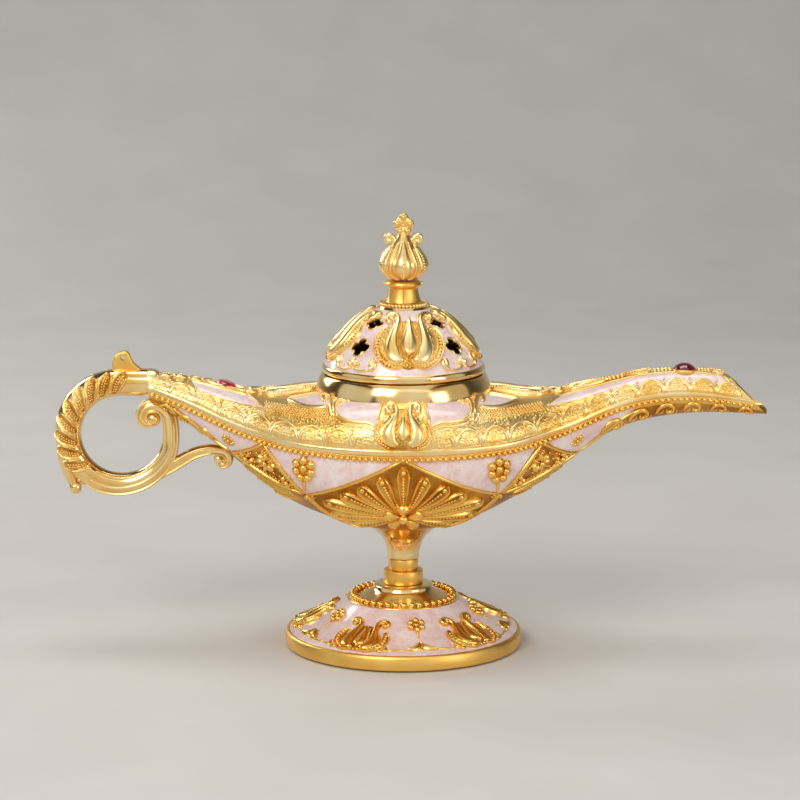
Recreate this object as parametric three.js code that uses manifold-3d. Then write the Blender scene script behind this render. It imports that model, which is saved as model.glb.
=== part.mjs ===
// A genie lamp incense burner: two cast shells joined along a girdle, a looped handle, a pedestal foot
// and a pierced lid that lifts off. Units are millimetres. X runs from the handle to the spout, Z is up,
// the front is -Y, and the origin is the middle of the felt pad that the lamp stands on.
import * as THREE from "three";
import { mergeVertices } from "three/addons/utils/BufferGeometryUtils.js";
import Module from "manifold-3d";

const wasm = await Module();
wasm.setup();
const { lerp, degToRad, radToDeg } = THREE.MathUtils;

// Fits and walls.
const GAP = 0.3;
const ENAMEL = 0.5;
const EDGE_GAP = 0.35;
const SIMPLIFY = 0.05;
const SCREW_RADIUS = 2;
const SCREW_HOLE = 2.4;

// Body lines, each a smooth curve through [x, value] stations.
const BODY_START = -75;
const BODY_END = 108;
const STATIONS = 24;
const SECTION_POINTS = 12;
const HOLLOW_STATIONS = 14;
const HOLLOW_POINTS = 8;
const HOLLOW_START = -71;
const HOLLOW_END = 110;
const PAST_GIRDLE = 5;
const KEEL = [[-76, 74.2], [-62, 66], [-48, 55.5], [-34, 45], [-17, 38.2], [0, 35.4], [17, 38.2], [32, 45.2],
  [47, 54.6], [58, 62.9], [70, 68.1], [87, 70.5], [108, 70]];
const GIRDLE = [[-76, 78], [-64, 74], [-48, 68], [-30, 64.4], [0, 63.6], [30, 64.4], [48, 68.1], [64, 73.5],
  [76, 75.7], [88, 75.8], [108, 73]];
const RIDGE = [[-76, 82], [-60, 80], [-45, 76.7], [-27, 77.4], [0, 80.5], [27, 77.4], [43, 76.6], [58, 79.5],
  [72, 82.5], [86, 83], [95, 82], [108, 79]];
const HALF_WIDTH = [[-76, 5], [-60, 10.8], [-45, 18.5], [-28, 28], [0, 34.5], [28, 28], [45, 17.5],
  [60, 10.4], [76, 7.2], [92, 6.2], [108, 5]];
const FULLNESS = [[-76, 2], [-45, 2.4], [0, 3.2], [45, 2.4], [76, 2], [108, 2]];
const WALL = [[-76, 2], [40, 2], [70, 1.5], [108, 1.3]];

// The spout's mouth is a slanting cut through these two points of the side view.
const MOUTH_TOP = [97.6, 80.6];
const MOUTH_LIP = [107.8, 70];

// Neck and lid.
const NECK_TOP = 82.6;
const NECK_RADIUS_LOW = 26;
const NECK_OUTLINE = [[0, 76], [NECK_RADIUS_LOW, 76], [25.9, 78.2], [24.6, 81.8], [24.2, NECK_TOP],
  [0, NECK_TOP]];
const NECK_BORE = 22.3;
const BORE_OUTLINE = [[0, 60], [NECK_BORE, 60], [NECK_BORE, 90], [0, 90]];
const FIELD_MARGIN = 0.6;
const LID_TURN = degToRad(4.5);
const LID_RADIUS = 24.1;
const LID_RIM = 1.5;
const LID_PLUG_RADIUS = 21.9;
const LID_PLUG_DEPTH = 4;
const LID_PLUG_WALL = 1.5;
const LID_TOP = 20;
const LID_TOP_RADIUS = 7.2;
const LID_WALL = 1.9;
const DOME = new THREE.SplineCurve([[23.9, 1.6], [22.5, 4.7], [20.2, 8.6], [15.4, 13.9], [10.6, 17.5],
  [LID_TOP_RADIUS, 19.4]].map(([radius, height]) => new THREE.Vector2(radius, height)));
const LID_HOLE_COLUMNS = 4;
const STUD_RADIUS = 1.5;
const STUD_HOLE = 1.9;
const STUD_BELOW = 4.4;
const STUD_ABOVE = 12;
const NUT_HEIGHT = 2.5;
const NUT_RADIUS = 3.2;
const BOSS = 0.6;
const SLEEVE_HEIGHT = 7;
const SLEEVE = [[STUD_HOLE, 0], [6.7, 0], [6.9, 0.5], [6.6, 1], [5.3, 1.2], [4.4, 5.4], [5.2, 5.8],
  [5.4, 6.4], [5.1, SLEEVE_HEIGHT], [STUD_HOLE, SLEEVE_HEIGHT]];
const BULB = [[0, 5.6], [STUD_HOLE, 5.6], [STUD_HOLE, 0], [4.3, 0], [6.2, 1.2], [7.3, 4], [6.6, 6.6],
  [4.6, 9], [3, 10.6], [4.4, 11.4], [3.2, 12.8], [1.9, 13.6], [3, 15.4], [2.6, 17.2], [1.3, 18.8], [0, 19.4]];

// Pedestal.
const FOOT_RADIUS = 35.4;
const FOOT_BOTTOM = 0.5;
const PAD_RADIUS = 33.2;
const PAD_HEIGHT = 1.7;
const FOOT_WEB = 15;
const COLLAR = { radius: 5.9, bottom: 18.7, top: 22.6 };
const STEM_NECK = { radius: 4.4, bottom: 22.9, top: 26 };
const FUNNEL = [[0, 26.3], [4.7, 26.3], [4.8, 28], [5.3, 30.3], [6.6, 33], [9.5, 35.6], [14, 38.6],
  [0, 38.6]];
const SCREW_TOP = 32.5;
const SCREW_HOLE_DEPTH = 12;

// Handle: a ring of round bar that ends in a scroll, with a lower branch, a tail and a pierced lug.
const RING_CENTRE = [-84.2, 64];
const RING_RADIUS = 15.4;
const HANDLE_RADIUS = 4.1;
const RING_DEGREES = { from: 95, to: 345, step: 25 };
const RING_RADII = [[0, HANDLE_RADIUS], [0.2, 4], [0.4, 3.5], [0.6, 2.3], [0.75, 1.9], [1, 1]];
const RING_SCROLL = {
  centre: [-75.2, 68.6], start: 0, turn: 1.9 * Math.PI, radius: 5.85, shrink: 0.297, count: 9,
};
const BRANCH = [[-74.3, 51.4], [-68.6, 54.2], [-62.8, 57.6], [-58, 59]];
const BRANCH_RADII = [[0, 2.2], [0.3, 1.6], [0.6, 1.4], [1, 0.9]];
const BRANCH_SCROLL = {
  centre: [-54, 55.9], start: 0.6 * Math.PI, turn: -1.7 * Math.PI, radius: 3, shrink: 0.22, count: 8,
};
const TAIL = [[-100.6, 61], [-100.4, 55], [-98.8, 50], [-97.8, 47.6]];
const TAIL_RADII = [[0, 2.6], [0.5, 2], [0.8, 1.5], [1, 1.7]];
const LUG_THICKNESS = 2.4;
const LUG_HOLE = { x: -82.7, z: 87.4, radius: 0.65 };
const TENON_RADIUS = 2.2;
const TENON_HEIGHT = 77.4;
const TENON_START = -78;
const TENON_END = -66;
const TENON_HOLE_END = -63;

const GEM_RADIUS = 2.9;
const GEM_PLACES = { gem_spout: 83, gem_handle: -52.5 };

const MATERIALS = {
  gold: new THREE.MeshStandardMaterial({ color: 0xe0b04c, roughness: 0.22, metalness: 1 }),
  enamel: new THREE.MeshStandardMaterial({ color: 0xecd3d6, roughness: 0.2, metalness: 0 }),
  ruby: new THREE.MeshStandardMaterial({ color: 0xa30f2d, roughness: 0.05, metalness: 0 }),
  felt: new THREE.MeshStandardMaterial({ color: 0x2a2622, roughness: 1, metalness: 0 }),
  steel: new THREE.MeshStandardMaterial({ color: 0xa8a9ab, roughness: 0.35, metalness: 1 }),
};

// Smooth curve through stations

function along(stations) {
  const last = stations.length - 1;
  const slope = stations.map((_, i) => {
    const before = stations[Math.max(i - 1, 0)];
    const after = stations[Math.min(i + 1, last)];
    return (after[1] - before[1]) / (after[0] - before[0]);
  });
  return (x) => {
    let i = 0;
    while (i < last - 1 && x > stations[i + 1][0]) i += 1;
    const [x0, v0] = stations[i];
    const [x1, v1] = stations[i + 1];
    const span = x1 - x0;
    const t = (x - x0) / span;
    const rise = t * t * (3 - 2 * t);
    return v0 + (v1 - v0) * rise + span * t * (1 - t) * (slope[i] * (1 - t) - slope[i + 1] * t);
  };
}

const keel = along(KEEL);
const girdle = along(GIRDLE);
const ridge = along(RIDGE);
const halfWidth = along(HALF_WIDTH);
const fullness = along(FULLNESS);
const wall = along(WALL);

// Body surfaces: t runs round a section from the front girdle (0) to the back girdle (1)

function lowerPoint(x, t, inset = 0) {
  const angle = Math.PI * t;
  const width = halfWidth(x) - inset;
  const depth = girdle(x) - keel(x) - inset;
  return new THREE.Vector3(x, -width * Math.cos(angle), girdle(x) - depth * Math.sin(angle));
}

function upperPoint(x, t, inset = 0) {
  const angle = Math.PI * t;
  const power = 2 / fullness(x);
  const width = halfWidth(x) - inset;
  const height = ridge(x) - girdle(x) - inset;
  const across = Math.sign(Math.cos(angle)) * Math.abs(Math.cos(angle)) ** power;
  return new THREE.Vector3(x, -width * across, girdle(x) + height * Math.sin(angle) ** power);
}

// The upper surface under a plan position.
function planPoint(x, y) {
  const power = fullness(x);
  const share = Math.min(Math.abs(y) / halfWidth(x), 1) ** power;
  return new THREE.Vector3(x, y, girdle(x) + (ridge(x) - girdle(x)) * (1 - share) ** (1 / power));
}

// Solids

function solid(geometry) {
  const bare = geometry.index ? geometry.toNonIndexed() : geometry;
  const only = new THREE.BufferGeometry().setAttribute("position", bare.getAttribute("position"));
  const merged = mergeVertices(only, 1e-4);
  const mesh = { numProp: 3, vertProperties: merged.attributes.position.array, triVerts: merged.index.array };
  return new wasm.Manifold(new wasm.Mesh(mesh));
}

function geometryOf(body) {
  const mesh = body.simplify(SIMPLIFY).getMesh();
  return new THREE.BufferGeometry()
    .setAttribute("position", new THREE.BufferAttribute(mesh.vertProperties, 3))
    .setIndex(new THREE.BufferAttribute(mesh.triVerts, 1));
}

function union(...bodies) {
  return bodies.reduce((whole, piece) => whole.add(piece));
}

// A grid of points, rows of equal length, turned into triangles.
function quads(rows, position, closedRows) {
  const columns = rows[0].length;
  for (let i = 0; i < rows.length - 1; i += 1) {
    for (let j = 0; j < columns - (closedRows ? 0 : 1); j += 1) {
      const k = (j + 1) % columns;
      position.push(...rows[i][j], ...rows[i + 1][j], ...rows[i + 1][k]);
      position.push(...rows[i][j], ...rows[i + 1][k], ...rows[i][k]);
    }
  }
}

function fan(ring, position, flip) {
  const middle = ring.reduce((sum, p) => sum.add(p), new THREE.Vector3()).divideScalar(ring.length);
  ring.forEach((p, i) => {
    const q = ring[(i + 1) % ring.length];
    position.push(...middle, ...(flip ? q : p), ...(flip ? p : q));
  });
}

function soup(position) {
  return new THREE.BufferGeometry().setAttribute("position", new THREE.Float32BufferAttribute(position, 3));
}

// The solid inside loose triangles, turned so that they face out.
function facingOut(position) {
  const made = solid(soup(position));
  if (made.volume() > 0) return made;
  const turnedOver = [];
  for (let i = 0; i < position.length; i += 9) {
    const corners = [i, i + 6, i + 3].map((start) => position.slice(start, start + 3));
    turnedOver.push(...corners.flat());
  }
  return solid(soup(turnedOver));
}

// A solid through closed rings of points, with flat ends.
function loft(rings) {
  const position = [];
  quads(rings, position, true);
  fan(rings[0], position, false);
  fan(rings[rings.length - 1], position, true);
  return facingOut(position);
}

// A turned solid from [radius, height] points, the axis along Z.
function turned(outline, segments = 28) {
  const points = outline.map(([radius, height]) => new THREE.Vector2(radius, height));
  const closes = outline[0][0] > 0;
  if (closes) points.push(points[0].clone());
  const geometry = new THREE.LatheGeometry(points, segments).rotateX(Math.PI / 2);
  const made = solid(geometry);
  if (made.volume() > 0) return made;
  return solid(new THREE.LatheGeometry(points.reverse(), segments).rotateX(Math.PI / 2));
}

// A round bar of changing radius along points of the side view.
function bar(path, radii, sides = 8) {
  const radius = along(radii);
  const curve = new THREE.CatmullRomCurve3(path.map(([x, z]) => new THREE.Vector3(x, 0, z)));
  const steps = path.length * 2;
  const rings = [];
  for (let i = 0; i <= steps; i += 1) {
    const share = i / steps;
    const centre = curve.getPoint(share);
    const ahead = curve.getTangent(share);
    const side = new THREE.Vector3(-ahead.z, 0, ahead.x);
    const ring = [];
    for (let j = 0; j < sides; j += 1) {
      const angle = (2 * Math.PI * j) / sides;
      const point = centre.clone().addScaledVector(side, radius(share) * Math.cos(angle));
      point.y += radius(share) * Math.sin(angle);
      ring.push(point);
    }
    rings.push(ring);
  }
  return loft(rings);
}

// A slab that follows a surface patch, from one offset along its normal to another.
// A gap draws its edges in, so that it lies clear in a pocket of the same patch; a negative one grows them.
function slab(pointAt, low, high, gap, columns = 4, rowCount = 2) {
  const step = 1e-3;
  const lengthOf = (from, to) => Math.max(pointAt(...from).distanceTo(pointAt(...to)), 4 * Math.abs(gap));
  const place = (u, v, offset) => {
    const edgeV = gap / lengthOf([u, 0], [u, 1]);
    const inV = lerp(edgeV, 1 - edgeV, v);
    const edgeU = gap / lengthOf([0, inV], [1, inV]);
    const inU = lerp(edgeU, 1 - edgeU, u);
    const here = pointAt(inU, inV);
    const alongU = pointAt(inU + step, inV).sub(pointAt(inU - step, inV));
    const alongV = pointAt(inU, inV + step).sub(pointAt(inU, inV - step));
    const normal = alongU.cross(alongV).normalize();
    const middle = new THREE.Vector3(here.x, 0, girdle(here.x));
    if (normal.dot(here.clone().sub(middle)) < 0) normal.negate();
    return here.addScaledVector(normal, offset);
  };
  const sheet = (offset) => Array.from({ length: columns + 1 }, (_, i) => {
    return Array.from({ length: rowCount + 1 }, (__, j) => place(i / columns, j / rowCount, offset));
  });
  const top = sheet(high);
  const under = sheet(low);
  const edge = (rows, j) => rows.map((row) => row.at(j));
  const position = [];
  quads(top, position, false);
  quads(under.map((row) => row.toReversed()), position, false);
  quads([under[0], top[0]], position, false);
  quads([top.at(-1), under.at(-1)], position, false);
  quads([edge(top, 0), edge(under, 0)], position, false);
  quads([edge(under, -1), edge(top, -1)], position, false);
  return facingOut(position);
}

// Raised ornament, drawn in millimetres on a chart: a function that gives the place of a drawn point

const RIDGED = [[-1, 0], [-0.7, 0.7], [0, 1], [0.7, 0.7], [1, 0]];
const ROUNDED = [[-1, 0], [-0.55, 0.9], [0.55, 0.9], [1, 0]];
const PEAKED = [[-1, 0], [0, 1], [1, 0]];
const FLAT = [[-1, 0], [-1, 1], [-0.5, 1], [0, 1], [0.5, 1], [1, 1], [1, 0], [0, 0]];
const PLAQUE = { foot: -1.15, top: 0.6 };
const PETAL_RISE = 1.6;
const SIDE_RISE = 1.35;
const CRESCENT_RISE = 0.95;

// Up from the girdle on the front, by height.
function shoulderChart(x, y) {
  const power = fullness(x);
  const share = Math.min(y / (ridge(x) - girdle(x)), 1) ** power;
  return new THREE.Vector3(x, -halfWidth(x) * (1 - share) ** (1 / power), girdle(x) + y);
}

// Round a turned surface from the front, and up its profile.
function roundChart(curve) {
  const length = curve.getLength();
  return (x, y) => {
    const { x: radius, y: height } = curve.getPointAt(THREE.MathUtils.clamp(y / length, 0, 1));
    return new THREE.Vector3(radius * Math.sin(x / radius), -radius * Math.cos(x / radius), height);
  };
}

// A bar along a drawn line: one ring for each half width, from a foot to a top over the surface.
function raised(chart, section, line, widths, foot, top) {
  const curve = new THREE.SplineCurve(line.map(([x, y]) => new THREE.Vector2(x, y)));
  const step = 0.05;
  const rings = widths.map((width, i) => {
    const share = i / (widths.length - 1);
    const at = curve.getPoint(share);
    const ahead = curve.getTangent(share);
    return section.map(([across, rise]) => {
      const x = at.x - ahead.y * across * width;
      const y = at.y + ahead.x * across * width;
      const alongX = chart(x + step, y).sub(chart(x - step, y));
      const alongY = chart(x, y + step).sub(chart(x, y - step));
      return chart(x, y).addScaledVector(alongX.cross(alongY).normalize(), lerp(foot, top, rise));
    });
  });
  return loft(rings);
}

const FOOT_LOTUSES = 5;
const FOOT_LOTUS_TURN = -26.2;
const FOOT_LOTUS = {
  petal: { line: [[0, 2.6], [0, 6], [0, 12.6]], widths: [0.4, 2, 1.9, 1.2, 0.4] },
  side: {
    line: [[3.6, 2.6], [4, 4.2], [3.8, 6.8], [3.2, 9.2], [2.7, 11.2], [2.6, 13], [3.6, 14.4]],
    widths: [1, 1.85, 1.7, 1.1, 0.85, 0.8, 0.8],
  },
  crescent: {
    line: [[1.2, 1.5], [4.6, 1.7], [6.9, 4.2], [7.3, 7.2], [5.6, 10.6]],
    widths: [0.5, 0.8, 1, 1, 0.5],
  },
  plaque: { line: [[0, 1.5], [0, 13]], widths: [3.2, 7.3, 7.6, 5.9, 4, 2.6] },
};
const LID_LOTUS = {
  petal: { line: [[0, 7.2], [0, 12], [0, 22.4]], widths: [0.5, 2.5, 2.2, 1.4, 0.4] },
  side: {
    line: [[4.6, 5.4], [5, 7.4], [4.8, 11], [4.2, 15.2], [3.5, 18.4], [3.2, 21.2], [4.4, 23]],
    widths: [1.3, 2.3, 2.1, 1.2, 0.95, 0.85, 0.8],
  },
  crescent: {
    line: [[1.2, 4.1], [5.6, 3.4], [9.4, 6.5], [9.6, 11.6], [6.2, 17]],
    widths: [0.5, 1, 1.3, 1.1, 0.4],
  },
  plaque: { line: [[0, 3.1], [0, 21]], widths: [3, 9.2, 10, 9, 6.2, 4.2] },
};
const SHOULDER_LOTUS = {
  petal: { line: [[0, 3.8], [0, 6.8], [0, 11.6]], widths: [0.4, 2, 1.8, 1.1, 0.4] },
  side: {
    line: [[3.7, 3], [4.3, 5.4], [3.4, 8.4], [2.3, 10.6], [1.9, 12.4]],
    widths: [1.1, 2.05, 1.4, 0.95, 0.8],
  },
  crescent: {
    line: [[1.6, 2], [4.6, 2.1], [7.1, 4.2], [7.6, 7], [5.6, 10]],
    widths: [0.4, 0.75, 1, 0.95, 0.4],
  },
  plaque: { line: [[0, 1.4], [0, 13]], widths: [3.4, 8.5, 8.6, 6.6, 4.2, 3] },
};

const footChart = roundChart(slopeCurve());
const lidChart = roundChart(DOME);

// A middle petal, two curling side petals and two crescents on a plaque that stands in the metal below.
function lotus(chart, { petal, side, crescent, plaque }) {
  const bars = [raised(chart, RIDGED, petal.line, petal.widths, GAP, PETAL_RISE)];
  for (const sign of [1, -1]) {
    const half = ({ line, widths }, section, rise) => {
      return raised(chart, section, line.map(([x, y]) => [sign * x, y]), widths, GAP, rise);
    };
    bars.push(half(side, ROUNDED, SIDE_RISE), half(crescent, PEAKED, CRESCENT_RISE));
  }
  return union(raised(chart, FLAT, plaque.line, plaque.widths, PLAQUE.foot, PLAQUE.top), ...bars);
}

// The opening in the enamel that the plaque stands in.
function lotusBed(chart, { plaque }) {
  const [[x, first], [, last]] = plaque.line;
  const line = [[x, first - EDGE_GAP], [x, last + EDGE_GAP]];
  return raised(chart, FLAT, line, plaque.widths.map((width) => width + EDGE_GAP), -ENAMEL - GAP, 1);
}

// Copies of a solid round the axis, the first turned from the front.
function roundAxis(body, count, turn = 0) {
  const copies = Array.from({ length: count }, (_, i) => body.rotate([0, 0, turn + (360 * i) / count]));
  return union(...copies);
}

// Leaves along the ridge as [point, round end, half width, height].
const CREST_LEAVES = [[26.2, 43.2, 4.2, 1.5], [60.2, 47.6, 2.5, 1.1], [65.3, 73, 1.6, 0.9],
  [90.8, 94.6, 1.2, 0.8], [-26.2, -43.2, 4.2, 1.5]];
const LEAF_SHAPE = [0.12, 0.5, 0.85, 1, 0.9, 0.35];
const LEAF_FOOT = -0.8;

function crestLeaf([point, end, width, rise]) {
  const widths = LEAF_SHAPE.map((share) => share * width);
  const line = [[point, 0], [lerp(point, end, 0.5), 0], [end, 0]];
  return raised(planPoint, RIDGED, line, widths, LEAF_FOOT, rise);
}

// Enamel fields

// Corners of the fields in the lower bowl as [x, t], in order round the field, on the front of the lamp.
const LOWER_FIELDS = {
  handle_end: [[-66, 0.05], [-42.5, 0.035], [-49.8, 0.23], [-51.4, 0.23]],
  handle_side: [[-39, 0.035], [-4, 0.03], [-27.4, 0.21], [-29, 0.21]],
  spout_side: [[4, 0.03], [38, 0.035], [27.6, 0.215], [26, 0.215]],
  spout_end: [[42.5, 0.035], [67, 0.05], [52, 0.26], [50.4, 0.26]],
};
// Strips on the upper shell: x at each end, then t beside the band and beside the ridge at each end.
const UPPER_STRIPS = {
  handle_top: { x: [-62.5, -42], band: [0.25, 0.28], crest: [0.385, 0.42] },
  spout_top: { x: [46, 95], band: [0.28, 0.18], crest: [0.41, 0.36] },
};
// Fields round the neck: plan angles from the front, and how far out they reach at each.
const SHOULDER_FIELDS = {
  shoulder_mid: { angle: [14, 41], reach: [33, 30.4] },
  shoulder_side: { angle: [48, 71], reach: [33.5, 36] },
};

function bilinear(corners) {
  const [a, b, c, d] = corners;
  const mix = (k, u, v) => (a[k] * (1 - u) + b[k] * u) * (1 - v) + (d[k] * (1 - u) + c[k] * u) * v;
  return (u, v) => lowerPoint(mix(0, u, v), mix(1, u, v));
}

// Every field as a patch on the lamp's front, and its mirror image on the back.
function bothSides(name, pointAt) {
  const back = (u, v) => pointAt(u, v).multiply(new THREE.Vector3(1, -1, 1));
  return [[`enamel_${name}_front`, pointAt], [`enamel_${name}_back`, back]];
}

const lowerPatches = Object.entries(LOWER_FIELDS).flatMap(([name, corners]) => {
  return bothSides(name, bilinear(corners));
});

const upperPatches = Object.entries(UPPER_STRIPS).flatMap(([name, { x, band, crest }]) => {
  return bothSides(name, (u, v) => upperPoint(lerp(...x, u), lerp(lerp(...band, u), lerp(...crest, u), v)));
});

for (const [name, { angle, reach }] of Object.entries(SHOULDER_FIELDS)) {
  for (const [end, sign] of [["spout", 1], ["handle", -1]]) {
    const field = (u, v) => {
      const out = lerp(NECK_RADIUS_LOW + FIELD_MARGIN, lerp(...reach, u), v);
      const turn = sign * degToRad(lerp(...angle, u));
      return planPoint(out * Math.sin(turn), -out * Math.cos(turn));
    };
    upperPatches.push(...bothSides(`${name}_${end}`, field));
  }
}

const pocket = ([, pointAt]) => slab(pointAt, -ENAMEL - GAP, 1, -EDGE_GAP);
const panel = ([name, pointAt]) => [name, slab(pointAt, -ENAMEL, 0, EDGE_GAP)];

// The body

// One half of the body, closed at the girdle or, for a hollow, reaching past it.
function bodySolid(pointAt, insetAt, from, to, stations, points, past = 0) {
  const rings = [];
  for (let i = 0; i <= stations; i += 1) {
    const x = from + ((to - from) * i) / stations;
    const ring = [];
    for (let j = 0; j <= points; j += 1) ring.push(pointAt(x, j / points, insetAt(x)));
    if (past !== 0) {
      const lift = new THREE.Vector3(0, 0, past);
      ring.push(ring.at(-1).clone().add(lift), ring[0].clone().add(lift));
    }
    rings.push(ring);
  }
  return loft(rings);
}

function hollow(pointAt, past) {
  return bodySolid(pointAt, wall, HOLLOW_START, HOLLOW_END, HOLLOW_STATIONS, HOLLOW_POINTS, past);
}

// A block that lies beyond the slanting cut of the spout's mouth.
function beyondMouth() {
  const length = 40;
  const lean = Math.atan2(MOUTH_LIP[0] - MOUTH_TOP[0], MOUTH_TOP[1] - MOUTH_LIP[1]);
  const block = new THREE.BoxGeometry(length, length, length)
    .translate(length / 2, 0, 0)
    .rotateY(-lean)
    .translate(MOUTH_LIP[0], 0, MOUTH_LIP[1]);
  return solid(block);
}

// A rod along X in the middle plane.
function rod(radius, from, to, height) {
  const geometry = new THREE.CylinderGeometry(radius, radius, to - from, 16)
    .rotateZ(Math.PI / 2)
    .translate((from + to) / 2, 0, height);
  return solid(geometry);
}

// The hole in the handle end that takes the tenon.
function tenonHole() {
  return rod(TENON_RADIUS + GAP, TENON_START, TENON_HOLE_END, TENON_HEIGHT);
}

// A flat-topped block over or under the girdle, drawn back from the joint line by half the gap.
function girdleCutter(sign) {
  const reach = 60;
  const rings = [];
  for (let i = -1; i <= STATIONS + 1; i += 1) {
    const x = BODY_START + ((BODY_END - BODY_START) * i) / STATIONS;
    const joint = girdle(x) + (sign * GAP) / 2;
    const far = girdle(x) - sign * reach;
    rings.push([[-reach, joint], [reach, joint], [reach, far], [-reach, far]].map(([y, z]) => {
      return new THREE.Vector3(x, y, z);
    }));
  }
  return loft(rings);
}

function lowerBowl() {
  const outside = bodySolid(lowerPoint, () => 0, BODY_START, BODY_END, STATIONS, SECTION_POINTS);
  const inside = hollow(lowerPoint, PAST_GIRDLE);
  const screwHole = solid(
    new THREE.CylinderGeometry(SCREW_HOLE, SCREW_HOLE, SCREW_HOLE_DEPTH, 16)
      .rotateX(Math.PI / 2)
      .translate(0, 0, SCREW_TOP + GAP - SCREW_HOLE_DEPTH / 2),
  );
  let body = union(outside, turned(FUNNEL, 24)).subtract(inside).subtract(screwHole);
  body = body.subtract(beyondMouth()).subtract(tenonHole()).subtract(girdleCutter(-1));
  for (const patch of lowerPatches) body = body.subtract(pocket(patch));
  return body;
}

function upperShell() {
  const outside = bodySolid(upperPoint, () => 0, BODY_START, BODY_END, STATIONS, SECTION_POINTS);
  const inside = hollow(upperPoint, -PAST_GIRDLE);
  let body = outside.subtract(inside);
  const flower = lotus(shoulderChart, SHOULDER_LOTUS);
  body = union(body, flower, flower.mirror([0, 1, 0]), ...CREST_LEAVES.map(crestLeaf));
  body = union(body, turned(NECK_OUTLINE), ...Object.values(GEM_PLACES).map(bezel));
  body = body.subtract(turned(BORE_OUTLINE));
  body = body.subtract(beyondMouth()).subtract(tenonHole()).subtract(girdleCutter(1));
  for (const place of Object.values(GEM_PLACES)) body = body.subtract(gemSeat(place));
  for (const patch of upperPatches) body = body.subtract(pocket(patch));
  return body;
}

// Gems and their settings, tilted with the ridge

const BEZEL = { radius: 3.7, below: -1.8, top: 0.4, floor: -0.8 };

function onRidge(body, x) {
  const tilt = Math.atan2(ridge(x + 1) - ridge(x - 1), 2);
  return body.rotate([0, -radToDeg(tilt), 0]).translate([x, 0, ridge(x)]);
}

function bezel(x) {
  return onRidge(turned([[0, BEZEL.below], [BEZEL.radius, BEZEL.below], [BEZEL.radius, BEZEL.top - 0.2],
    [BEZEL.radius - 0.3, BEZEL.top], [0, BEZEL.top]], 20), x);
}

function gemSeat(x) {
  const radius = GEM_RADIUS + GAP;
  return onRidge(turned([[0, BEZEL.floor], [radius, BEZEL.floor], [radius, 3], [0, 3]], 20), x);
}

function gem(x) {
  const base = BEZEL.floor + GAP;
  const cut = [[0, base], [GEM_RADIUS - 0.3, base], [GEM_RADIUS, base + 0.7], [GEM_RADIUS - 0.7, base + 1.5],
    [GEM_RADIUS - 1.6, base + 1.9], [0, base + 1.9]];
  return onRidge(turned(cut, 10), x);
}

// The handle

function spiral({ centre, start, turn, radius, shrink, count }) {
  const points = [];
  for (let i = 0; i <= count; i += 1) {
    const angle = (turn * i) / count;
    const reach = radius * Math.exp(-shrink * Math.abs(angle));
    const point = [centre[0] + reach * Math.cos(start + angle), centre[1] + reach * Math.sin(start + angle)];
    points.push(point);
  }
  return points;
}

// The ring starts against the body, goes once round and winds up into its scroll.
function ringPath() {
  const [cx, cz] = RING_CENTRE;
  const path = [[BODY_START - GAP, cz + RING_RADIUS], [-79, cz + RING_RADIUS]];
  for (let degrees = RING_DEGREES.from; degrees <= RING_DEGREES.to; degrees += RING_DEGREES.step) {
    const angle = degToRad(degrees);
    path.push([cx + RING_RADIUS * Math.cos(angle), cz + RING_RADIUS * Math.sin(angle)]);
  }
  return [...path, ...spiral(RING_SCROLL)];
}

function handle() {
  const ring = bar(ringPath(), RING_RADII);
  const branch = bar([...BRANCH, ...spiral(BRANCH_SCROLL)], BRANCH_RADII);
  const tail = bar(TAIL, TAIL_RADII);
  const tenon = rod(TENON_RADIUS, TENON_START, TENON_END, TENON_HEIGHT);
  const grownBody = bodySolid(lowerPoint, () => -GAP, BODY_START, BODY_END, STATIONS, SECTION_POINTS);
  return union(ring, branch, tail, lug()).subtract(grownBody).add(tenon);
}

// The pierced lug that a lid chain can hook on.
function lug() {
  const outline = new THREE.Shape();
  outline.moveTo(-87, 82);
  outline.quadraticCurveTo(-84.4, 84.4, -84, 88);
  outline.bezierCurveTo(-84, 89.9, -81.2, 89.9, -81.2, 88);
  outline.quadraticCurveTo(-80.6, 84.6, -77, 83);
  outline.lineTo(-77, 82);
  const options = { depth: LUG_THICKNESS, bevelEnabled: false, curveSegments: 6 };
  const plate = new THREE.ExtrudeGeometry(outline, options)
    .rotateX(Math.PI / 2)
    .translate(0, LUG_THICKNESS / 2, 0);
  const hole = new THREE.CylinderGeometry(LUG_HOLE.radius, LUG_HOLE.radius, 2 * LUG_THICKNESS, 12)
    .translate(LUG_HOLE.x, 0, LUG_HOLE.z);
  return solid(plate).subtract(solid(hole));
}

// The pedestal

function footCasting() {
  return turned([
    [SCREW_HOLE, FOOT_WEB], [7.5, FOOT_WEB], [14, 11.6], [31, 3.1], [31.2, 2.1], [33.6, 2.1],
    [33.6, FOOT_BOTTOM], [FOOT_RADIUS - 0.4, FOOT_BOTTOM], [FOOT_RADIUS, 1], [FOOT_RADIUS, 3.8],
    [FOOT_RADIUS - 0.9, 4.8], ...offsetPoints(slopeCurve(), 3, -ENAMEL - GAP), [16.5, 14.7], [15.8, 14.9],
    [15.2, 14.6], [13.9, 14.8], [9.4, 17], [8.7, 18], [7.4, 18.4], [SCREW_HOLE, 18.4],
  ]).add(roundAxis(lotus(footChart, FOOT_LOTUS), FOOT_LOTUSES, FOOT_LOTUS_TURN));
}

// The sloping top of the foot between the rim and the bead ring.
function slopeCurve(inset = 0) {
  return new THREE.QuadraticBezierCurve(
    new THREE.Vector2(34.2 - inset, 4.9),
    new THREE.Vector2(24.6, 8.2),
    new THREE.Vector2(16.9 + inset, 14.1),
  );
}

function offsetPoints(curve, count, offset) {
  const points = [];
  for (let i = 0; i <= count; i += 1) {
    const at = curve.getPoint(i / count);
    const ahead = curve.getTangent(i / count);
    points.push([at.x + offset * ahead.y, at.y - offset * ahead.x]);
  }
  return points;
}

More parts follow.
